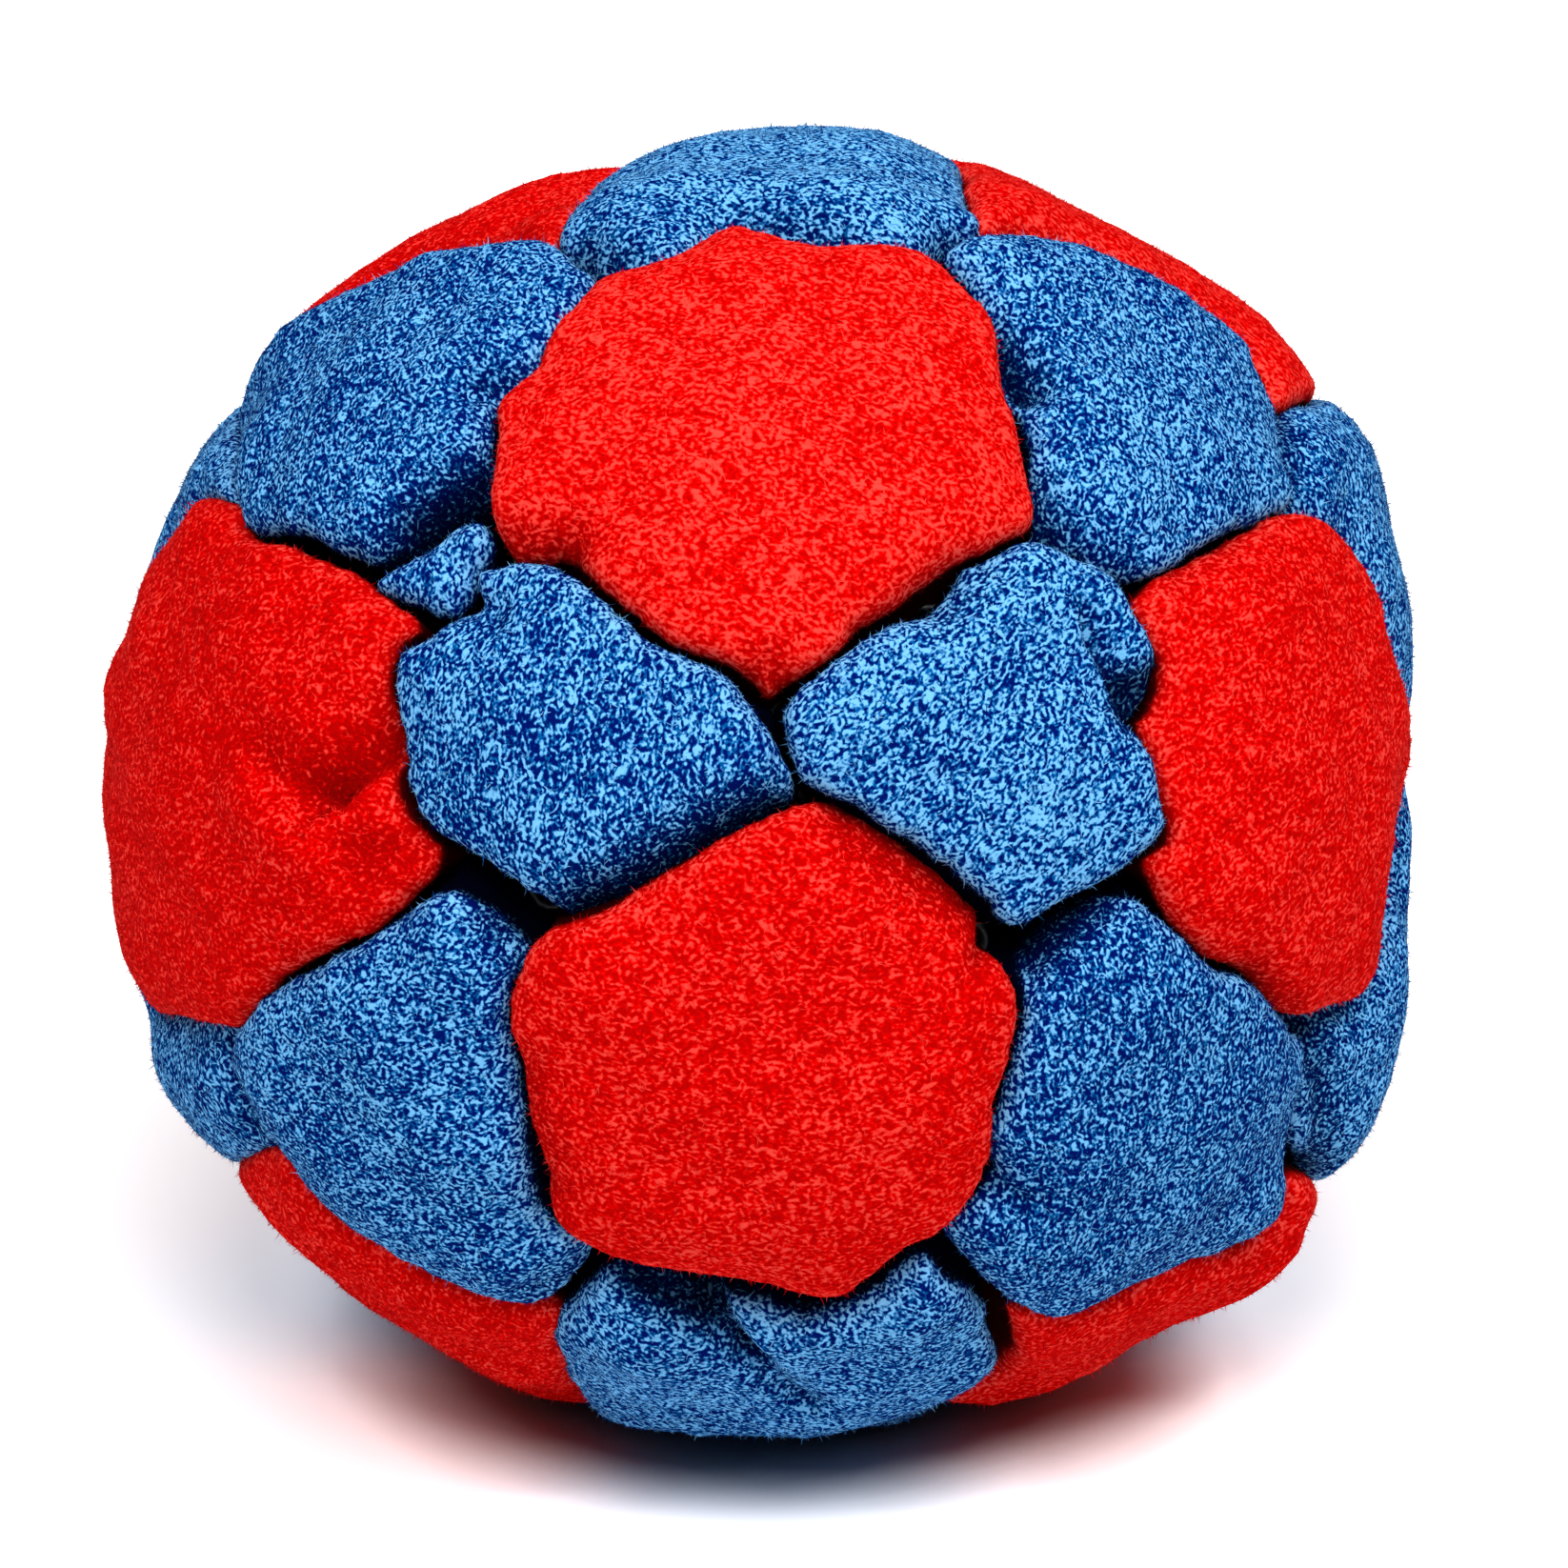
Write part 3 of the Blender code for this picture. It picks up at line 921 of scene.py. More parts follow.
class Tree:
    """The node tree of a material or a world, with one short call to add a node and join it."""

    def __init__(self, owner: bpy.types.Material | bpy.types.World) -> None:
        """Start with no nodes.

        Args:
            owner: The material or the world.
        """
        self.owner = owner
        owner.use_nodes = True
        owner.node_tree.nodes.clear()

    def node(self, kind: str, inputs: dict | None = None, **settings: object) -> bpy.types.Node:
        """Add a node.

        Args:
            kind: The node's type, without the words ShaderNode.
            inputs: For each input, by name or number, the socket to join it to or its value.
            settings: The node's own settings.

        Returns:
            The node.
        """
        made = self.owner.node_tree.nodes.new(f"ShaderNode{kind}")
        for name, value in settings.items():
            setattr(made, name, value)
        for socket, value in (inputs or {}).items():
            if isinstance(value, bpy.types.NodeSocket):
                self.owner.node_tree.links.new(value, made.inputs[socket])
            else:
                made.inputs[socket].default_value = value
        return made

    def maths(self, operation: str, *values: object) -> bpy.types.NodeSocket:
        """Add a Math node on sockets or numbers, and return its result."""
        return self.node("Math", dict(enumerate(values)), operation=operation).outputs[0]

    def noise(self, vector: object, scale: float, detail: float = 0.0) -> bpy.types.Node:
        """Add a noise at places of that scale."""
        return self.node("TexNoise", {"Vector": vector, "Scale": scale, "Detail": detail})

    def attribute(self, name: str) -> bpy.types.NodeSocket:
        """Read a number that each point of the piece has."""
        return self.node("Attribute", attribute_name=name).outputs["Fac"]

    def spread(self, value: object, low: float, high: float) -> bpy.types.NodeSocket:
        """Map low to 0 and high to 1, smoothly, and keep it between them."""
        ranged = {"Value": value, "From Min": low, "From Max": high}
        return self.node("MapRange", ranged, interpolation_type="SMOOTHSTEP").outputs[0]

    def ramp(self, value: object, stops: tuple[tuple[float, tuple], ...]) -> bpy.types.NodeSocket:
        """Turn a value into a colour.

        Args:
            value: The value.
            stops: The ramp's stops, each a place from 0 to 1 and the colour there.

        Returns:
            The colour.
        """
        made = self.node("ValToRGB", {"Fac": value})
        elements = made.color_ramp.elements
        for element, (place, colour) in zip(elements, (stops[0], stops[-1])):
            element.position, element.color = place, (*colour, 1)
        for place, colour in stops[1:-1]:
            elements.new(place).color = (*colour, 1)
        return made.outputs["Color"]

    def mix(self, share: object, first: object, second: object) -> bpy.types.NodeSocket:
        """Mix two colours by a share of the second."""
        return self.node("Mix", {0: share, 6: first, 7: second}, data_type="RGBA").outputs[2]

    def bump(self, height: object, strength: float, distance: float) -> bpy.types.NodeSocket:
        """Turn a height into the direction of a bumped surface."""
        return self.node("Bump", {"Strength": strength, "Distance": distance, "Height": height}).outputs[0]

    def finish(
        self, colour: object, normal: object, roughness: float, gloss: float = 0.5
    ) -> bpy.types.Material:
        """Give the material its surface.

        Args:
            colour: Its colour.
            normal: Its bumped direction.
            roughness: Its roughness.
            gloss: Its specular level.

        Returns:
            The material.
        """
        inputs = {"Base Color": colour, "Normal": normal, "Roughness": roughness, "Specular IOR Level": gloss}
        shader = self.node("BsdfPrincipled", inputs)
        self.node("OutputMaterial", {"Surface": shader.outputs[0]})
        return self.owner


@dataclass(frozen=True)
class Suede:
    """Synthetic suede: a short brushed nap that lies in curls, each pale along its side and deep between.

    Attributes:
        name: The material's name.
        deep: The colour between the curls.
        middle: The colour of the nap as a whole.
        pale: The colour of the curls.
        wear_and_sheen: The colour of the nap where it stands up along an edge.
        curl: How far apart the curls are.
        bend_pace: How fine the curls' bends are, as a share of the curls' own fineness.
        bend_reach: How far a curl bends, in curls.
        fibre_pace: How fine the fibres between the curls are, as the bends are measured.
        clump_pace: The same for the clumps.
        patch_scale: How fine the brushed patches are, to a millimetre.
        shares: How strongly the curls, the fibres, the clumps and the patches show.
        bias: How far the nap as a whole leans to the deep colour.
        contrast: How much of the deep and the pale shows.
        stops: The levels at which the deep, the middle and the pale colour are reached.
        nap_height: How far the curls stand up.
        seam_shade_fall: How far the nap's level falls at the bottom of a seam or in a fold, as painted shade.
        seam_shade_colour: How much of the deep colour is left there, where the nap is painted almost black as
            shade.
        roughness: Its roughness.
        gloss: Its specular level.
    """

    name: str
    deep: tuple[float, float, float]
    middle: tuple[float, float, float]
    pale: tuple[float, float, float]
    wear_and_sheen: tuple[float, float, float]
    curl: float = 0.158 * MM
    bend_pace: float = 0.3
    bend_reach: float = 1.8
    fibre_pace: float = 1.85
    clump_pace: float = 0.24
    patch_scale: float = 0.35
    shares: tuple[float, float, float, float] = (2.9, 1.0, 0.5, 0.5)
    bias: float = 0.03
    contrast: float = 1.08
    stops: tuple[float, float, float] = (0.05, 0.5, 0.95)
    nap_height: float = 0.02 * MM
    seam_shade_fall: float = 0.5
    seam_shade_colour: float = 0.04
    roughness: float = 0.95
    gloss: float = 0.02

    def material(self) -> bpy.types.Material:
        """Lay curls of one width, fine fibres between them, clumps and brushed patches over each other.

        The nap's level is the sum of the shares of these noises, plus the panel's tone, less the painted
        shade of seams and folds. A ramp turns it into the deep, the middle and the pale colour. Along the
        edges it pales, partly as worn nap and partly as painted sheen, and in seams and folds painted shade
        takes it towards black.

        Returns:
            The material.
        """
        tree = Tree(bpy.data.materials.new(self.name))
        pace = MM / self.curl
        place = tree.node("Attribute", attribute_name="nap").outputs["Vector"]
        bend = tree.noise(place, self.bend_pace * pace).outputs["Color"]
        bending = {0: bend, 1: (self.bend_reach / pace,) * 3, 2: place}
        bent = tree.node("VectorMath", bending, operation="MULTIPLY_ADD").outputs[0]
        curls = tree.noise(bent, pace)
        fibres = tree.noise(place, self.fibre_pace * pace)
        clumps = tree.noise(place, self.clump_pace * pace)
        patches = tree.noise(place, self.patch_scale, 2.0)
        level: object = 0.5 - self.bias
        for noise, share in zip((curls, fibres, clumps, patches), self.shares):
            centred = tree.maths("SUBTRACT", noise.outputs[0], 0.5)
            level = tree.maths("MULTIPLY_ADD", centred, share * self.contrast, level)
        seam = tree.attribute("seam")
        # Painted shade: the nap's level falls in seams and folds
        level = tree.maths("MULTIPLY_ADD", seam, -self.seam_shade_fall, level)
        level = tree.maths("ADD", level, tree.attribute("tone"))
        colour = tree.ramp(level, tuple(zip(self.stops, (self.deep, self.middle, self.pale))))
        # Along an edge the nap pales: partly worn, raised nap and partly painted sheen
        edge_paling = tree.maths("MULTIPLY", tree.attribute("edge"), tree.spread(level, 0.2, 0.8))
        wear_and_sheen = tree.mix(edge_paling, colour, (*self.wear_and_sheen, 1))
        # Painted shade: seams and folds are painted almost black, the palest curls showing where the shade is
        # light
        lit = tree.maths("MULTIPLY", tree.spread(level, 0.3, 0.8), tree.maths("SUBTRACT", 1.0, seam))
        dark = tree.maths("MULTIPLY", seam, tree.maths("SUBTRACT", 1.0, lit))
        shaded = tree.mix(dark, wear_and_sheen, (*(self.seam_shade_colour * part for part in self.deep), 1))
        bump = tree.bump(curls.outputs[0], 0.7, self.nap_height)
        return tree.finish(shaded, bump, self.roughness, self.gloss)


@dataclass(frozen=True)
class Thread:
    """Waxed polyester thread: two plies, twisted.

    Attributes:
        name: The material's name.
        dark: The colour between the plies.
        pale: The colour on them.
        band_scale: How fine the plies' bands are.
        band_height: How far they stand out.
        roughness: Its roughness.
    """

    name: str = "waxed_thread"
    dark: tuple[float, float, float] = (0.004, 0.005, 0.008)
    pale: tuple[float, float, float] = (0.016, 0.018, 0.026)
    band_scale: float = 900
    band_height: float = 0.03 * MM
    roughness: float = 0.5

    def material(self) -> bpy.types.Material:
        """Draw the plies as fine bands.

        Returns:
            The material.
        """
        tree = Tree(bpy.data.materials.new(self.name))
        place = tree.node("TexCoord").outputs["Object"]
        bands = {"Vector": place, "Scale": self.band_scale, "Distortion": 2}
        plies = tree.node("TexWave", bands, wave_profile="SIN").outputs[1]
        colour = tree.ramp(plies, ((0.2, self.dark), (0.9, self.pale)))
        return tree.finish(colour, tree.bump(plies, 0.4, self.band_height), self.roughness)


@dataclass(frozen=True)
class Grain:
    """The fill's fine grains, as they press against the cloth.

    Attributes:
        name: The material's name.
        dark: The colour between the grains.
        pale: The colour on them.
        grain_size: A grain's width.
        roughness: Its roughness.
    """

    name: str = "grain"
    dark: tuple[float, float, float] = (0.20, 0.13, 0.07)
    pale: tuple[float, float, float] = (0.62, 0.50, 0.33)
    grain_size: float = 0.6 * MM
    roughness: float = 0.8

    def material(self) -> bpy.types.Material:
        """Draw a cell for each grain.

        Returns:
            The material.
        """
        tree = Tree(bpy.data.materials.new(self.name))
        place = tree.node("TexCoord").outputs["Object"]
        cells = tree.node("TexVoronoi", {"Vector": place, "Scale": 1 / self.grain_size})
        colour = tree.ramp(cells.outputs["Distance"], ((0.1, self.pale), (0.7, self.dark)))
        height = tree.maths("SUBTRACT", 1.0, cells.outputs["Distance"])
        return tree.finish(colour, tree.bump(height, 0.8, 0.3 * self.grain_size), self.roughness)


RED = Suede(
    "red_suede",
    deep=(0.55, 0.0, 0.0),
    middle=(0.84, 0.0, 0.0),
    pale=(1.0, 0.062, 0.046),
    wear_and_sheen=(1.0, 0.10, 0.075),
    curl=0.178 * MM,
    bias=0.08,
    contrast=0.72,
)
BLUE = Suede(
    "blue_suede",
    deep=(0.0, 0.006, 0.13),
    middle=(0.0, 0.122, 0.41),
    pale=(0.19, 0.57, 1.0),
    wear_and_sheen=(0.24, 0.54, 0.85),
)


class Shell(NamedTuple):
    """A closed surface of cloth.

    Attributes:
        points: Its points, one a row.
        faces: Arrays of its faces.
        seam: For each point, how much painted shade it gets, deep in a seam or in a fold.
        edge: For each point, how much paler its nap is along an edge: partly worn nap, partly painted sheen.
        outside: The points of the cloth's outside, by ring and step.
    """

    points: Array
    faces: list[Array]
    seam: Array
    edge: Array
    outside: Array


@dataclass
class Panel:
    """One sewn panel, or a tuck of one: its outline, its surface and its nap.

    Attributes:
        key: The red panels that it is or lies among.
        pattern: The cut pattern.
        suede: Its material.
        node: The CAD node that it stands for.
        tuck: The tuck, where this is one.
        steps_round: Points round its outline.
        corner_gap: From a hidden corner of the seam line to the panel's own.
        corner_cut: How far from a corner its rounding starts.
        bow: How far the middle of a hidden side bows out.
        crown_rings: Rings of points from the middle to where the edge starts to roll.
        roll_radius: The radius of the rolled edge.
        roll_turns: How far round the roll its rings are, in degrees.
        roll_shades: How much painted shade each of them gets, more as the roll turns down into the seam.
        edge_dip: How far the panel falls from its crown to the rolled edge.
        dip_width: How far from the edge that fall starts.
        dip_power: How much of that fall is close to the edge.
        wall_depth: How far the cloth runs down into the seam.
        wall_steps: How far down the wall its rings are, as shares of it.
        flare_power: How much of the wall's lean is near its foot.
        most_flare: The furthest that a wall leans out to reach its seam.
        allowance: How far the allowance runs on below the seam.
        cloth: The cloth's thickness.
        inside_steps: How far from the middle the rings of the cloth's inside are, as shares of the way.
        waver: How far the outline wavers, in long waves and in short ones.
        waver_lengths: How long those waves are.
        rumple: How far the surface is rumpled, in long waves and in short ones.
        rumple_lengths: How long those waves are.
        shade_over: How deep a fold is where its painted shade is darkest.
        wear_and_sheen: How much paler the nap is along the edge: partly worn nap, partly painted sheen.
        wear_and_sheen_width: How far in from the edge it is paler.
    """

    key: tuple[int, ...]
    pattern: CutPattern
    suede: bpy.types.Material
    node: str
    tuck: Tuck | None = None
    steps_round: int = 240
    corner_gap: float = 0.286 * MM
    corner_cut: float = 1.2 * MM
    bow: float = 0.22 * MM
    crown_rings: int = 22
    roll_radius: float = 0.70 * MM
    roll_turns: tuple[float, ...] = (18, 36, 52, 68, 82, 90)
    roll_shades: tuple[float, ...] = (0, 0, 0.08, 0.3, 0.65, 0.9)
    edge_dip: float = 0.70 * MM
    dip_width: float = 4.5 * MM
    dip_power: float = 2.2
    wall_depth: float = 1.9 * MM
    wall_steps: tuple[float, ...] = (0.15, 0.35, 0.6, 0.85, 1.0)
    flare_power: float = 1.4
    most_flare: float = 2.4 * MM
    allowance: float = 0.9 * MM
    cloth: float = 0.7 * MM
    inside_steps: tuple[float, ...] = (1.0, 0.85, 0.65, 0.4, 0.15)
    waver: tuple[float, float] = (0.07 * MM, 0.035 * MM)
    waver_lengths: tuple[float, float] = (3.2 * MM, 0.9 * MM)
    rumple: tuple[float, float] = (0.10 * MM, 0.025 * MM)
    rumple_lengths: tuple[float, float] = (5.5 * MM, 1.3 * MM)
    shade_over: float = 1.9 * MM
    wear_and_sheen: float = 0.55
    wear_and_sheen_width: float = 0.9 * MM
    axes: Array = field(init=False)
    loop: Array = field(init=False)
    seam: Array = field(init=False)

    def __post_init__(self) -> None:
        """Work out the panel's own axes, its outline and its seam line."""
        corners = self.pattern.corners()
        found = np.array([corners[corner] for corner in self.pattern.corners_of(self.key)])
        if self.tuck:
            found = self.pattern.form.seen(list(self.tuck.outline), self.pattern.seam_drop)
        middle = unit(found.mean(axis=0))
        # Across any direction that no panel faces
        aside = unit(np.cross((0.31, 0.17, 0.94), middle))
        self.axes = np.array((aside, np.cross(middle, aside), middle))
        flat = self.flatten(found)
        self.seam = flat[np.argsort(np.arctan2(flat[:, 1], flat[:, 0]))]
        if self.tuck:
            points = flat
        elif self.key in OUTLINES:
            points = self.seen_outline(corners)
        else:
            points = self.sewn_outline()
        across = points[:, 0] * np.roll(points[:, 1], -1) - points[:, 1] * np.roll(points[:, 0], -1)
        if across.sum() < 0:
            points = points[::-1]
        self.loop = self.wavered(smooth_loop(points, self.steps_round))

    def flatten(self, directions: Array) -> Array:
        """Draw directions on the plane that touches the bag at the panel's middle: r (d.x, d.y) / d.z."""
        local = directions @ self.axes.T
        return self.pattern.form.radius * local[:, :2] / local[:, 2:]

    def raise_up(self, flat: Array) -> Array:
        """Turn places in the panel's plane back into directions from the bag's centre."""
        local = np.concatenate((flat, np.full((len(flat), 1), self.pattern.form.radius)), axis=1)
        return unit(local @ self.axes)

    def seen_outline(self, corners: dict[Corner, Array]) -> Array:
        """The outline of a panel that the photograph shows, or shows in part.

        It passes each photographed point. A corner out of sight is drawn in by the gap and cut off, and a
        side between two of them has its middle too.

        Args:
            corners: The pattern's corners.

        Returns:
            Points in the panel's plane, one a row.
        """
        outline = OUTLINES[self.key]
        hidden = [isinstance(point, Corner) for point in outline]
        shown = [point for point in outline if isinstance(point, Px)]
        seen = iter(self.pattern.form.seen(shown, self.pattern.seam_drop))
        found = [corners[point] if far else next(seen) for point, far in zip(outline, hidden)]
        places = self.flatten(np.array(found))
        places[hidden] -= self.corner_gap * unit(places[hidden])
        beyond = np.roll(places, -1, axis=0)
        points = []
        for place, after, starts, ends in zip(places, beyond, hidden, hidden[1:] + hidden[:1]):
            step = unit(after - place) * min(self.corner_cut, np.linalg.norm(after - place) / 3)
            points.append(place + step if starts else place)
            if starts and ends:
                points.append((place + after) / 2)
            if ends:
                points.append(after - step)
        return np.array(points)

    def sewn_outline(self) -> Array:
        """The outline of a panel that the photograph doesn't show.

        Each side of the seam line, drawn in by the gap, gives three points: one a cut's length from either
        corner, and the middle, which bows out over the seam.

        Returns:
            Points in the panel's plane, one a row.
        """
        draw = np.random.default_rng(sum(self.key) + 100 * len(self.key))
        reach = np.linalg.norm(self.seam, axis=1, keepdims=True)
        inner = self.seam * (1 - self.corner_gap / reach)
        after = np.roll(inner, -1, axis=0)
        sides = unit(after - inner)
        outward = np.stack((sides[:, 1], -sides[:, 0]), axis=1)
        cuts = self.corner_cut * draw.uniform(0.6, 1.4, (2, len(inner), 1))
        bows = self.bow * draw.uniform(-0.3, 1.6, (len(inner), 1))
        middles = (inner + after) / 2 + outward * bows
        return np.stack((inner + sides * cuts[0], middles, after - sides * cuts[1]), axis=1).reshape(-1, 2)

    def wavered(self, loop: Array) -> Array:
        """Move the outline in and out by smooth random fields, as a cut and turned edge wavers.

        Args:
            loop: The outline's points, one a row.

        Returns:
            The moved points.
        """
        tangents = unit(np.roll(loop, -1, axis=0) - np.roll(loop, 1, axis=0))
        outward = np.stack((tangents[:, 1], -tangents[:, 0]), axis=1)
        places = self.raise_up(loop) * self.pattern.form.radius
        shift = np.zeros(len(loop))
        for number, (height, length) in enumerate(zip(self.waver, self.waver_lengths)):
            shift = shift + height * RandomField(sum(self.key) + 50 * number, length).at(places)
        return loop + outward * shift[:, None]

    def seam_point(self) -> Array:
        """Where the seam line lies beyond each point of the outline, seen from the middle.

        The ray r = s u from the middle meets the side from a to b where s = (a x (b - a)) / (u x (b - a)).

        Returns:
            A place on the seam line for each point of the outline.
        """
        ray = unit(self.loop)
        side = np.roll(self.seam, -1, axis=0) - self.seam
        whole = self.seam[:, 0] * side[:, 1] - self.seam[:, 1] * side[:, 0]
        slope = ray[:, :1] * side[:, 1] - ray[:, 1:] * side[:, 0]
        with np.errstate(divide="ignore"):
            reach = np.where(slope > 0, whole / slope, np.inf).min(axis=1)
        return ray * reach[:, None]

    def folded(self, flat: Array) -> tuple[Array, Array]:
        """How deep the folds and dents are, and how much painted shade their nap gets.

        Each dent adds its depth times its profile at the distance from its line, in widths.

        Args:
            flat: Places in the panel's plane, one a row.

        Returns:
            One depth for each place, and one painted shade from 0 to 0.85.
        """
        form = self.pattern.form
        places = self.raise_up(flat) * form.radius
        depth, dark = np.zeros((2, len(flat)))
        for dent in () if self.tuck else DENTS.get(self.key, ()):
            start, end = form.seen([dent.start, dent.end], self.pattern.seam_drop) * form.radius
            left = np.cross(end - start, places - start) @ unit(start) > 0
            width = dent.width * MM
            apart = to_segment(places, start, end) / np.where(left, width * dent.lean, width)
            here = dent.depth * MM * dent.fold.profile(apart)
            # Painted shade in the fold, as deep as it is, times the dent's shade
            depth, dark = depth + here, dark + here * dent.shade / self.shade_over
        return depth, np.clip(dark, 0, 0.85)

    def sunk(self, flat: Array) -> Array:
        """How far the outer surface lies below the crowns' level.

        A quarter circle of the roll's radius at the edge, plus the dip as a power of the distance from it,
        plus the folds, plus two random fields.

        Args:
            flat: Places in the panel's plane, one a row.

        Returns:
            One depth for each place.
        """
        inward = to_loop(flat, self.loop)
        rolled = np.clip(self.roll_radius - inward, 0, self.roll_radius)
        depth = self.roll_radius - np.sqrt(self.roll_radius**2 - rolled**2)
        depth = depth + self.edge_dip * np.clip(1 - inward / self.dip_width, 0, 1) ** self.dip_power
        depth = depth + self.folded(flat)[0]
        places = self.raise_up(flat) * self.pattern.form.radius
        for number, (height, length) in enumerate(zip(self.rumple, self.rumple_lengths)):
            depth = depth + height * RandomField(7 * sum(self.key) + number, length).at(places)
        # Lowered as a whole, so that the rumples stay under the crowns' level
        return depth + 1.1 * self.rumple[0] + (self.tuck.lowered if self.tuck else 0)

    def rings(self) -> tuple[Array, Array, Array]:
        """The surface's rings, from the middle of the outside round to the middle of the inside.

        Returns:
            The rings' places in the panel's plane (ring, step, 2), their depths (ring, step), and how much
            painted shade each place gets in the seam or a fold (ring, step), from 0 on the crown to 1 at the
            bottom.
        """
        reach = np.linalg.norm(self.loop, axis=1, keepdims=True)
        crown = np.linspace(0, 1, self.crown_rings + 1)[1:, None, None] * (1 - self.roll_radius / reach)
        turns = np.radians(self.roll_turns)[:, None, None]
        roll = 1 - self.roll_radius * (1 - np.sin(turns)) / reach
        outer = rows(crown, roll) * self.loop
        depths = self.sunk(outer.reshape(-1, 2)).reshape(outer.shape[:2])

        lean = self.seam_point() - self.loop
        length = np.linalg.norm(lean, axis=1, keepdims=True)
        lean = lean * np.minimum(1, self.most_flare / np.maximum(length, 1e-9))
        down = np.array(self.wall_steps)[:, None, None]
        wall = self.loop + lean * down**self.flare_power
        wall_depths = depths[-1] + self.wall_depth * down[:, :, 0]
        # The allowance's cut edge, as wide as the cloth is thick
        foot = wall[-1]
        inward = -unit(foot)
        hem = np.stack((foot + inward * 0.25 * self.cloth, foot + inward * 1.25 * self.cloth))
        hem_depths = np.stack((wall_depths[-1] + self.allowance,) * 2)

        narrow = 1 - (self.roll_radius + 1.2 * self.cloth) / reach
        inner = np.array(self.inside_steps)[:, None, None] * narrow * self.loop
        inner_depths = self.sunk(inner.reshape(-1, 2)).reshape(inner.shape[:2]) + self.cloth
        below = len(wall) + len(hem) + len(inner)
        # Painted shade of the seam: none on the crown, rising round the roll, full down the wall and inside
        into = np.concatenate((np.zeros(len(crown)), self.roll_shades, np.ones(below)))
        flat, all_depths = rows(outer, wall, hem, inner), rows(depths, wall_depths, hem_depths, inner_depths)
        # Painted shade in the folds; the darker of that and the seam's is kept
        hollow = self.folded(flat.reshape(-1, 2))[1].reshape(all_depths.shape)
        return flat, all_depths, np.maximum(into[:, None], hollow)

    def points(self, flat: Array, depths: Array) -> Array:
        """Put places of the panel's plane into space, none of them below the floor.

        Args:
            flat: The places, one a row.
            depths: How far each lies below the crowns' level.

        Returns:
            Points, one a row.
        """
        directions = self.raise_up(flat)
        form = self.pattern.form
        placed = directions * (form.reach(directions) - depths)[:, None]
        placed[:, 2] = np.maximum(placed[:, 2] + form.centre_height, 0)
        return placed

    def shell(self) -> Shell:
        """Make the cloth's surface: a grid of rings, closed at both middles.

        Returns:
            The closed surface.
        """
        flat, depths, into = self.rings()
        count, steps = depths.shape
        middle = np.zeros((1, 2))
        top_depth = self.sunk(middle)
        all_flat = rows(middle, flat.reshape(-1, 2), middle)
        points = self.points(all_flat, rows(top_depth, depths.ravel(), top_depth + self.cloth))
        seam = rows(np.zeros(1), into.ravel(), np.ones(1))
        # Paler nap along the edge, none where it is shaded: partly worn nap, partly painted sheen
        edge = self.wear_and_sheen * np.clip(1 - to_loop(all_flat, self.loop) / self.wear_and_sheen_width, 0, 1) * (1 - seam)
        outside = points[1:-1].reshape(count, steps, 3)[: self.crown_rings + len(self.roll_turns) + 1]
        return Shell(points, closed_faces(count, steps), seam, edge, outside)

    def build(self) -> tuple[bpy.types.Object, list[Shell]]:
        """Make the panel with its tucks.

        Returns:
            The panel's object and its shells.
        """
        shells = [self.shell()]
        for tuck in TUCKS:
            if tuck.panel == self.key:
                shells.append(replace(self, tuck=tuck).shell())
        faces, base = [], 0
        for shell in shells:
            faces += [block + base for block in shell.faces]
            base += len(shell.points)
        points = rows(*(shell.points for shell in shells))
        obj = add_mesh(self.node + "_suede", points, faces, self.suede)
        set_attribute(obj, "seam", rows(*(shell.seam for shell in shells)))
        set_attribute(obj, "edge", rows(*(shell.edge for shell in shells)))
        set_attribute(obj, "nap", self.nap_places(points))
        set_attribute(obj, "tone", np.full(len(points), self.tone()))
        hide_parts(self.node)
        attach(obj, "root")
        return obj, shells

    @property
    def slot(self) -> str:
        """The record's material slot that its finish belongs to."""
        return "red_suede" if len(self.key) == 1 else "blue_suede"

    def tone(self) -> float:
        """How far the nap lies to its pale side: as photographed, which holds painted light as well as
        brushing, or drawn at random.
        """
        return BRUSH_AND_LIGHT_TONES.get(self.key, np.random.default_rng(70 + sum(self.key)).uniform(-0.08, 0.04))

    def nap_places(self, points: Array) -> Array:
        """Lay the nap's own axes through the panel, which the suede reads.

        The nap's direction is the panel's own, and the pattern is drawn out along it.

        Args:
            points: Points of the panel, one a row.

        Returns:
            The points in millimetres along the nap, across it and through it, shifted for each panel.
        """
        angle = (0.12 if len(self.key) == 1 else 2.4) * sum(self.key)
        along = math.cos(angle) * self.axes[0] + math.sin(angle) * self.axes[1]
        axes = np.array((along * 0.8, np.cross(self.axes[2], along), self.axes[2]))
        return points @ axes.T / MM + 3.0 * sum(self.key)


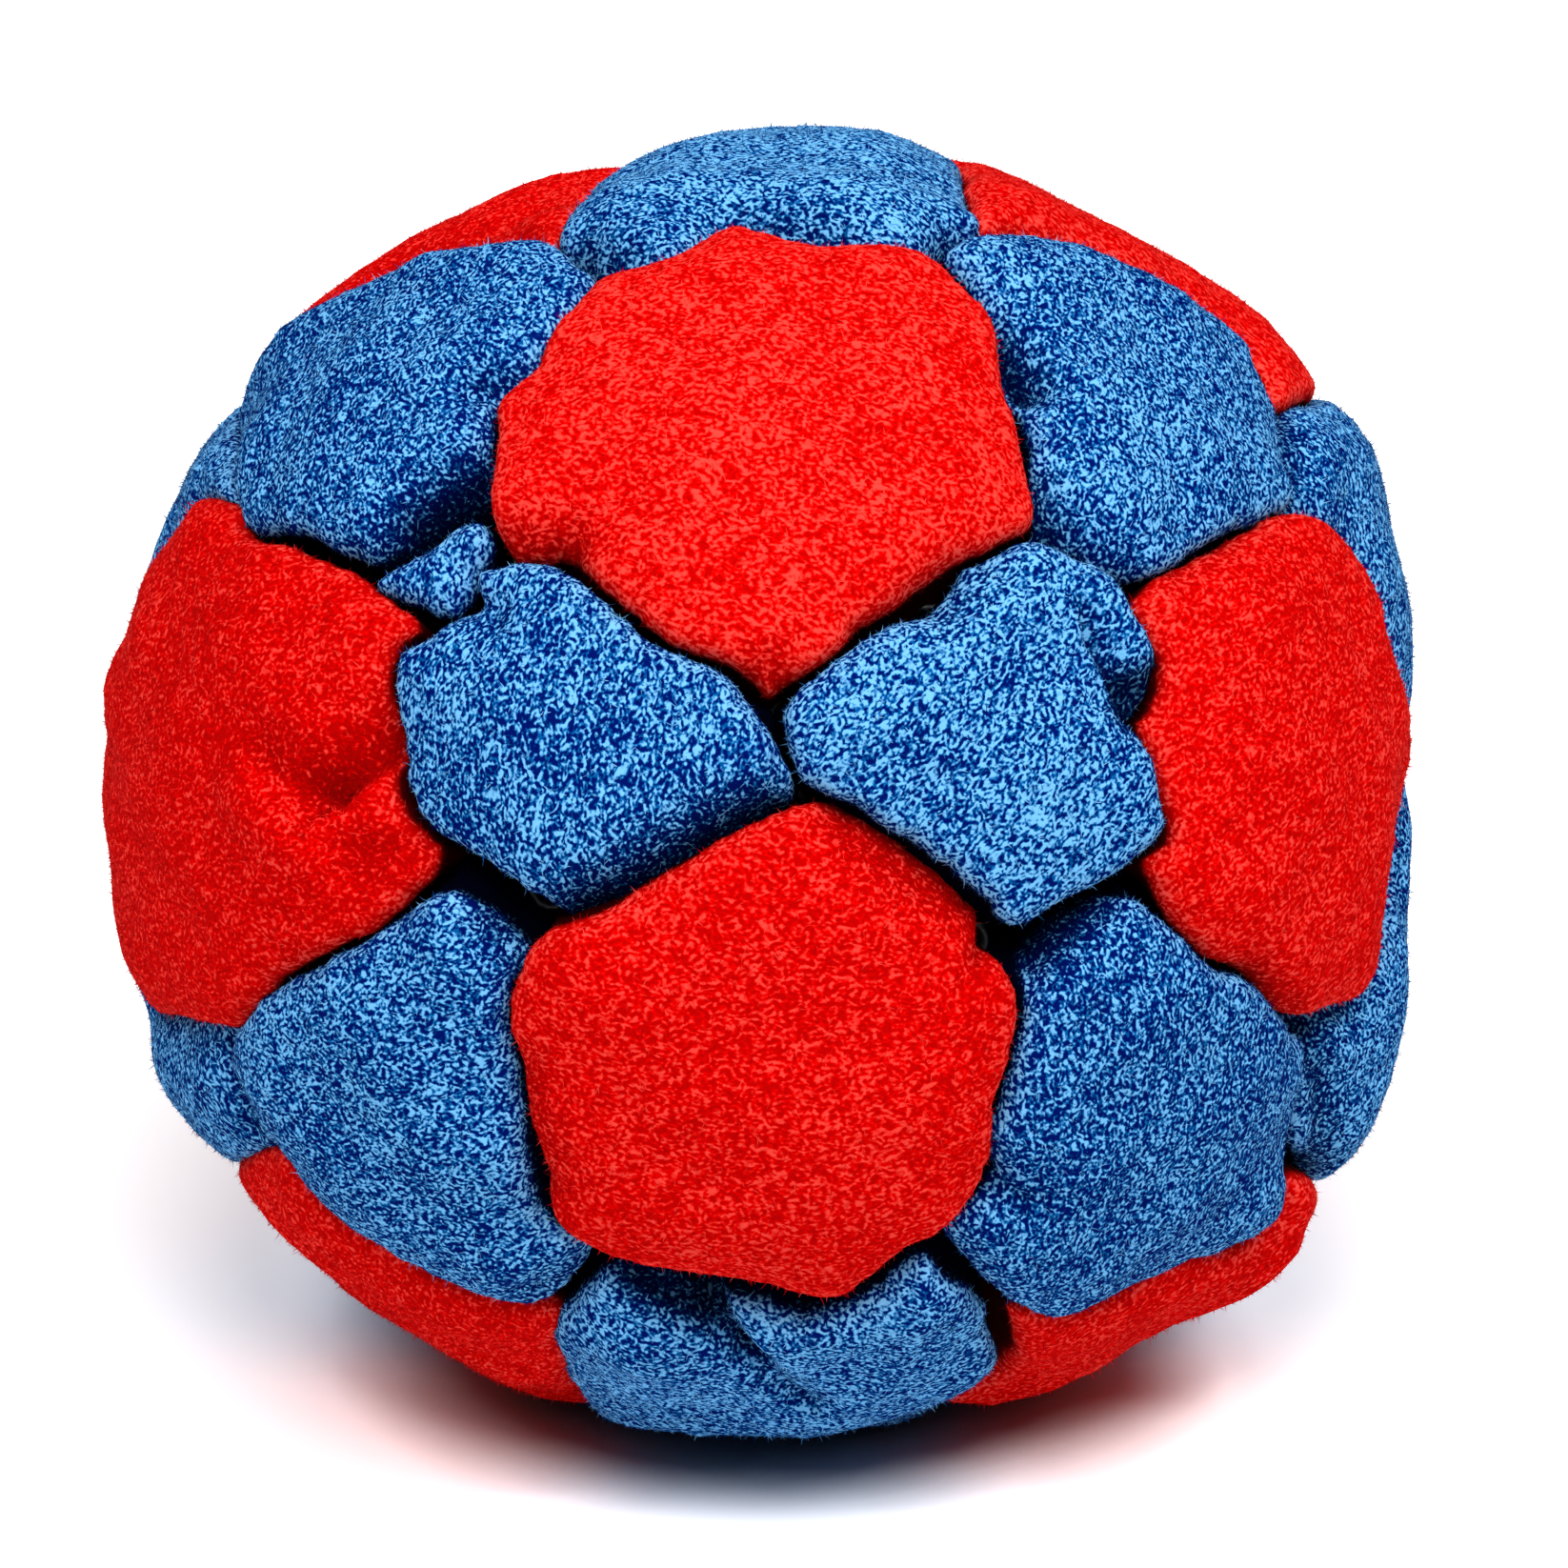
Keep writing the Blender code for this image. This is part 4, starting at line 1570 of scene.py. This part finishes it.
@dataclass(frozen=True)
class Nap:
    """The loose fibres that stand out of a panel, seen along edges and outlines.

    Attributes:
        per_area: Fibres for each square metre.
        length: A fibre's least and greatest length.
        width: Its width at the root.
        rise: How steeply it stands, as a share of its length.
        sunk: How far its root is in the cloth.
        wear_and_sheen: How much of the paler edge colour it has: partly worn nap, partly painted sheen.
    """

    per_area: float = 24e6
    length: tuple[float, float] = (0.08 * MM, 0.42 * MM)
    width: float = 0.036 * MM
    rise: tuple[float, float] = (0.15, 0.90)
    sunk: float = 0.03 * MM
    wear_and_sheen: float = 0.2

    def fibres(self, shell: Shell, draw: np.random.Generator) -> tuple[Array, ...]:
        """Strew bent, tapered fibres over the cloth, most of them short.

        A fibre has three places: its root p, then p + L (t / 2 + 0.35 n) and p + L (0.85 t + n), with a
        tangent t and a normal part n, and its width falls from the root to a point.

        Args:
            shell: The cloth.
            draw: The random numbers.

        Returns:
            The roots, one a row, the fibres' points (fibre, 5, 3), the cloth's normals there, and how much
            painted shade each root gets in a seam or a fold.
        """
        corner, out = shell.outside[:-1], shell.outside[1:]
        beside, across = np.roll(corner, -1, axis=1), np.roll(out, -1, axis=1)
        normals = np.cross(out - corner, beside - corner)
        areas = np.linalg.norm(normals, axis=2)
        count = int(self.per_area * areas.sum())
        cell = draw.choice(areas.size, count, p=areas.ravel() / areas.sum())
        u, v = draw.uniform(size=(2, count, 1))
        a, b, c, d = (array.reshape(-1, 3)[cell] for array in (corner, out, across, beside))
        root = (a * (1 - u) + b * u) * (1 - v) + (d * (1 - u) + c * u) * v
        normal = unit(normals.reshape(-1, 3)[cell])
        tangent = unit(np.cross(normal, draw.normal(size=(count, 3))))
        shortest, longest = self.length
        length = shortest + (longest - shortest) * draw.uniform(size=(count, 1)) ** 3
        rise = draw.uniform(*self.rise, (count, 1))
        side = np.cross(normal, tangent) * self.width / 2
        low = root - normal * self.sunk
        bend = root + length * (0.5 * tangent + 0.35 * rise * normal)
        tip = root + length * (0.85 * tangent + rise * normal)
        made = np.stack((low - side, low + side, bend - 0.8 * side, bend + 0.8 * side, tip), axis=1)
        return root, made, normal, shell.seam[1 + cell]

    def build(self, panel: Panel, shells: list[Shell]) -> bpy.types.Object:
        """Strew fibres over the outside of a panel.

        Args:
            panel: The panel.
            shells: Its shells.

        Returns:
            The fibres as one object.
        """
        draw = np.random.default_rng(900 + sum(panel.key) + 40 * len(panel.key))
        strewn = [self.fibres(shell, draw) for shell in shells]
        root, points, normals, seam = (rows(*parts) for parts in zip(*strewn))
        count = len(root)
        points[:, :, 2] = np.maximum(points[:, :, 2], 0)
        start = 5 * np.arange(count)[:, None]
        quads, ends = start + np.array((0, 2, 3, 1)), start + np.array((2, 4, 3))
        fibres = add_mesh(panel.node + "_nap", points.reshape(-1, 3), [quads, ends], panel.suede)
        # Fibres take some of the paler edge colour (partly worn nap, partly painted sheen) and their root's
        # painted shade
        of_each = {"custom_normal": normals, "nap": panel.nap_places(root), "edge": np.full(count, self.wear_and_sheen)}
        of_each.update(tone=np.full(count, panel.tone()), seam=seam)
        for name, values in of_each.items():
            set_attribute(fibres, name, np.repeat(values, 5, axis=0))
        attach(fibres, "root")
        return fibres


@dataclass(frozen=True)
class SeamThread:
    """The thread that holds the panels together, deep in the seams.

    Attributes:
        radius: The thread's radius.
        depth: How far below the crowns it runs.
        stitch: A stitch's length.
        swing: How far a stitch passes to either side of its seam.
        steps: Points along each seam.
        sides: Points round the thread.
    """

    radius: float = 0.175 * MM
    depth: float = 3.5 * MM
    stitch: float = 1.7 * MM
    swing: float = 0.3 * MM
    steps: int = 48
    sides: int = 6

    def build(self, pattern: CutPattern) -> bpy.types.Object:
        """A running stitch along every seam, as closed tubes.

        Along a seam the thread's middle is the seam's line, moved aside by the swing times
        sin(pi distance / stitch), and a ring round it is middle + radius (cos side + sin up).

        Args:
            pattern: The cut pattern.

        Returns:
            All the stitches as one object.
        """
        corners, form = pattern.corners(), pattern.form
        points, faces = [], []
        t = np.linspace(0, 1, self.steps)[:, None]
        turns = np.linspace(0, 2 * np.pi, self.sides, endpoint=False)[None, :, None]
        tube, cap = turned_over(ring_quads(self.steps, self.sides)), np.arange(self.sides)
        for number, (start, end) in enumerate(pattern.seams()):
            line = unit(corners[start] * (1 - t) + corners[end] * t)
            aside = unit(np.cross(corners[start], corners[end]))
            length = form.radius * np.linalg.norm(corners[end] - corners[start])
            middle = line * (form.reach(line) - self.depth)[:, None]
            middle = middle + aside * self.swing * np.sin(np.pi * t * round(length / self.stitch))
            middle[:, 2] += form.centre_height
            outward = np.cos(turns) * aside + np.sin(turns) * line[:, None, :]
            points.append((middle[:, None, :] + self.radius * outward).reshape(-1, 3))
            base = number * self.steps * self.sides
            faces.append(base + tube)
            faces.append(base + np.stack((cap[::-1], cap + (self.steps - 1) * self.sides)))
        thread = add_mesh("seam_stitches", rows(*points), faces, Thread().material())
        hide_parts("seam_thread")
        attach(thread, "root")
        return thread


def inside_loop(points: Array, loop: Array) -> Array:
    """Which points lie inside a closed loop: a ray from them crosses it an odd number of times.

    Args:
        points: Places in a plane, one a row.
        loop: The loop's corners, one a row.

    Returns:
        True or false for each point.
    """
    x, y = points[:, :1], points[:, 1:]
    ax, ay = loop[:, 0], loop[:, 1]
    bx, by = np.roll(ax, -1), np.roll(ay, -1)
    across = (ay > y) != (by > y)
    with np.errstate(divide="ignore", invalid="ignore"):
        crossed = across & (x < (bx - ax) * (y - ay) / (by - ay) + ax)
    return crossed.sum(axis=1) % 2 == 1


@dataclass(frozen=True)
class GrainFill:
    """The loose grain as one body inside the cloth.

    Attributes:
        gap: From the cloth's inside to the grain.
        under_seam: From the crowns to the grain under a seam.
        shoulder: How far inside a panel's outline the grain starts to rise, and where it meets the cloth.
        bump: How far single heaps stand out.
        bump_length: How far apart they are.
        rings: Rings of points from the bottom to the top.
        seed: The seed of the heaps.
    """

    gap: float = 0.12 * MM
    under_seam: float = 4.4 * MM
    shoulder: tuple[float, float] = (1.6 * MM, 3.6 * MM)
    bump: float = 0.03 * MM
    bump_length: float = 1.6 * MM
    rings: int = 90
    seed: int = 31

    def depth(self, directions: Array, panels: list[Panel]) -> Array:
        """How far the grain lies below the crowns: close to each panel, and deep along the seams.

        Args:
            directions: Directions from the bag's centre, one a row.
            panels: All panels.

        Returns:
            One depth for each direction.
        """
        depth = np.full(len(directions), self.under_seam)
        for panel in panels:
            near = np.flatnonzero(directions @ panel.axes[2] > 0.8)
            flat = panel.flatten(directions[near])
            kept = inside_loop(flat, panel.loop)
            near, flat = near[kept], flat[kept]
            start, end = self.shoulder
            share = np.clip((to_loop(flat, panel.loop) - start) / (end - start), 0, 1)
            share = share**2 * (3 - 2 * share)
            cloth = panel.sunk(flat) + panel.cloth + self.gap
            depth[near] = np.maximum(cloth, self.under_seam + (cloth - self.under_seam) * share)
        return depth

    def build(self, pattern: CutPattern, panels: list[Panel]) -> bpy.types.Object:
        """A closed surface over height and turn, grooved where the allowances stand in it.

        Args:
            pattern: The cut pattern.
            panels: All panels.

        Returns:
            The grain's object.
        """
        steps = 2 * self.rings
        height = np.linspace(-np.pi / 2, np.pi / 2, self.rings + 2)[1:-1, None]
        turn = np.linspace(0, 2 * np.pi, steps, endpoint=False)[None, :]
        across = np.cos(height)
        parts = across * np.cos(turn), across * np.sin(turn), np.sin(height)
        grid = np.stack(np.broadcast_arrays(*parts), axis=2)
        directions = rows(np.array(((0, 0, -1.0),)), grid.reshape(-1, 3), np.array(((0, 0, 1.0),)))
        form = pattern.form
        depth = self.depth(directions, panels)
        depth = depth + self.bump * RandomField(self.seed, self.bump_length).at(directions * form.radius)
        points = directions * (form.reach(directions) - depth)[:, None]
        points[:, 2] += form.centre_height
        faces = [turned_over(block) for block in closed_faces(self.rings, steps)]
        fill = add_mesh("grain_body", points, faces, Grain().material())
        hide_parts("grain_fill")
        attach(fill, "root")
        return fill


@dataclass(frozen=True)
class Studio:
    """The floor, the soft lights and the white surround.

    Attributes:
        floor_radius: The floor's radius.
        floor_sides: How many sides its rim has.
        floor_grey: How pale it is to all but the camera.
        front_levels: What the left, middle and right front light each give a white card that faces them.
        front_turn_deg: How far the outer two stand to either side.
        front_rise_deg: How high the three stand.
        front_width_deg: How wide each looks from the bag.
        top_level: What the light from above gives.
        top_towards: The direction from the bag to it.
        top_width_deg: How wide it looks from the bag.
        around_level: What comes from all round, most of it from above.
        floor_gain: How bright the camera sees the floor, as a share of what a white card would be.
        contact_reach: How far from what stands on it the floor's contact shadow reaches.
        contact_power: How dark that is.
    """

    floor_radius: float = 2.0
    floor_sides: int = 64
    floor_grey: float = 0.85
    front_levels: tuple[float, float, float] = (0.34, 0.40, 0.46)
    front_turn_deg: float = 50
    front_rise_deg: float = 53
    front_width_deg: float = 22
    top_level: float = 0.12
    top_towards: tuple[float, float, float] = (0.10, 0.15, 0.98)
    top_width_deg: float = 80
    around_level: float = 0.10
    floor_gain: float = 1.5
    contact_reach: float = 4.5 * MM
    contact_power: float = 0.8

    def build(self) -> None:
        """Make the floor, the lamps and the world."""
        self.add_floor()
        for step, level in zip((-1, 0, 1), self.front_levels):
            towards = Bearing(step * self.front_turn_deg, self.front_rise_deg).direction()
            self.add_sun(f"front_light_{step + 2}", towards, level, self.front_width_deg)
        self.add_sun("top_light", self.top_towards, self.top_level, self.top_width_deg)
        self.set_world()
        bpy.context.scene.view_settings.view_transform = "Standard"

    def add_floor(self) -> None:
        """A round floor that shows white and keeps its shadow.

        Its colour to the camera is the gain times the share of its surroundings that stands open, within the
        contact shadow's reach, to that shadow's power. To all other rays it is a pale grey.
        """
        turn = np.linspace(0, 2 * np.pi, self.floor_sides, endpoint=False)
        points = self.floor_radius * np.stack((np.cos(turn), np.sin(turn), 0 * turn), axis=1)
        tree = Tree(bpy.data.materials.new("white_floor"))
        seen = tree.node("LightPath").outputs["Is Camera Ray"]
        near = tree.node("AmbientOcclusion", {"Distance": self.contact_reach}).outputs["AO"]
        shown = tree.maths("MULTIPLY", tree.maths("POWER", near, self.contact_power), self.floor_gain)
        colour = tree.mix(seen, (*(self.floor_grey,) * 3, 1), shown)
        tree.node("OutputMaterial", {"Surface": tree.node("BsdfDiffuse", {"Color": colour}).outputs[0]})
        floor = add_mesh("floor", points, [np.arange(self.floor_sides)[None, :]], tree.owner)
        floor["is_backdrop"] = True

    def add_sun(self, name: str, towards: tuple[float, float, float], level: float, angle_deg: float) -> None:
        """A wide, soft sun lamp.

        Args:
            name: The lamp's name.
            towards: The direction from the bag to the lamp.
            level: What it gives a white card that faces it.
            angle_deg: How wide it looks from the bag.
        """
        data = bpy.data.lights.new(name, "SUN")
        data.energy = math.pi * level
        data.angle = math.radians(angle_deg)
        lamp = bpy.data.objects.new(name, data)
        lamp.rotation_euler = Vector(towards).to_track_quat("Z", "Y").to_euler()
        bpy.context.scene.collection.objects.link(lamp)

    def set_world(self) -> None:
        """Light from all round, and plain white where the camera looks past the floor."""
        tree = Tree(bpy.data.worlds.new("white_surround"))
        seen = tree.node("LightPath").outputs["Is Camera Ray"]
        place = tree.node("TexCoord").outputs["Generated"]
        height = tree.node("SeparateXYZ", {0: place}).outputs["Z"]
        rising = {"Value": height, "From Max": 0.6, "To Min": 0.0, "To Max": 1.6 * self.around_level}
        around = tree.node("MapRange", rising).outputs[0]
        level = tree.node("MapRange", {"Value": seen, "To Min": around, "To Max": 1.0}).outputs[0]
        surround = tree.node("Background", {"Strength": level}).outputs[0]
        tree.node("OutputWorld", {"Surface": surround})
        bpy.context.scene.world = tree.owner


def nearest_nodes(pattern: CutPattern) -> dict[tuple[int, ...], str]:
    """Match each panel to the CAD node that lies in its direction.

    Args:
        pattern: The cut pattern.

    Returns:
        For each panel's key, a node's name.
    """
    corners, centre = pattern.corners(), pattern.form.centre()
    places = {}
    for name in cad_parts:
        if name.startswith(("red_pentagon", "blue_hexagon")):
            low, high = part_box(name)
            places[name] = unit(np.array((low + high) / 2 - centre))
    matched = {}
    for key in pattern.panels():
        middle = unit(np.mean([corners[corner] for corner in pattern.corners_of(key)], axis=0))
        kind = "red_pentagon" if len(key) == 1 else "blue_hexagon"
        same = [name for name in places if name.startswith(kind)]
        matched[key] = max(same, key=lambda name: places[name] @ middle)
    return matched


def main() -> None:
    """Build the bag and the studio, and report each piece."""
    logging.basicConfig(level=logging.INFO, format="%(name)s: %(message)s")
    cad_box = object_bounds()
    low, high = (np.array(corner) for corner in cad_box)
    radius = float(high[1] - low[1]) / 2
    view = PhotoView()
    form = BagForm(view, radius, float(high[2]) - radius)
    pattern = CutPattern(form)

    red, blue = RED.material(), BLUE.material()
    nap, panels = Nap(), []
    for key, node in nearest_nodes(pattern).items():
        panel = Panel(key, pattern, red if len(key) == 1 else blue, node)
        panels.append(panel)
        suede, shells = panel.build()
        fibres = nap.build(panel, shells)
        faces, strewn = len(suede.data.polygons), len(fibres.data.polygons) // 2
        log.info("%s %s: %d faces and %d fibres", node, key, faces, strewn)
    thread = SeamThread().build(pattern)
    log.info("thread: %d faces", len(thread.data.polygons))
    fill = GrainFill().build(pattern, panels)
    log.info("grain: %d faces", len(fill.data.polygons))
    Studio().build()
    view.add_camera(form.centre(), radius)


if __name__ == "__main__":
    main()
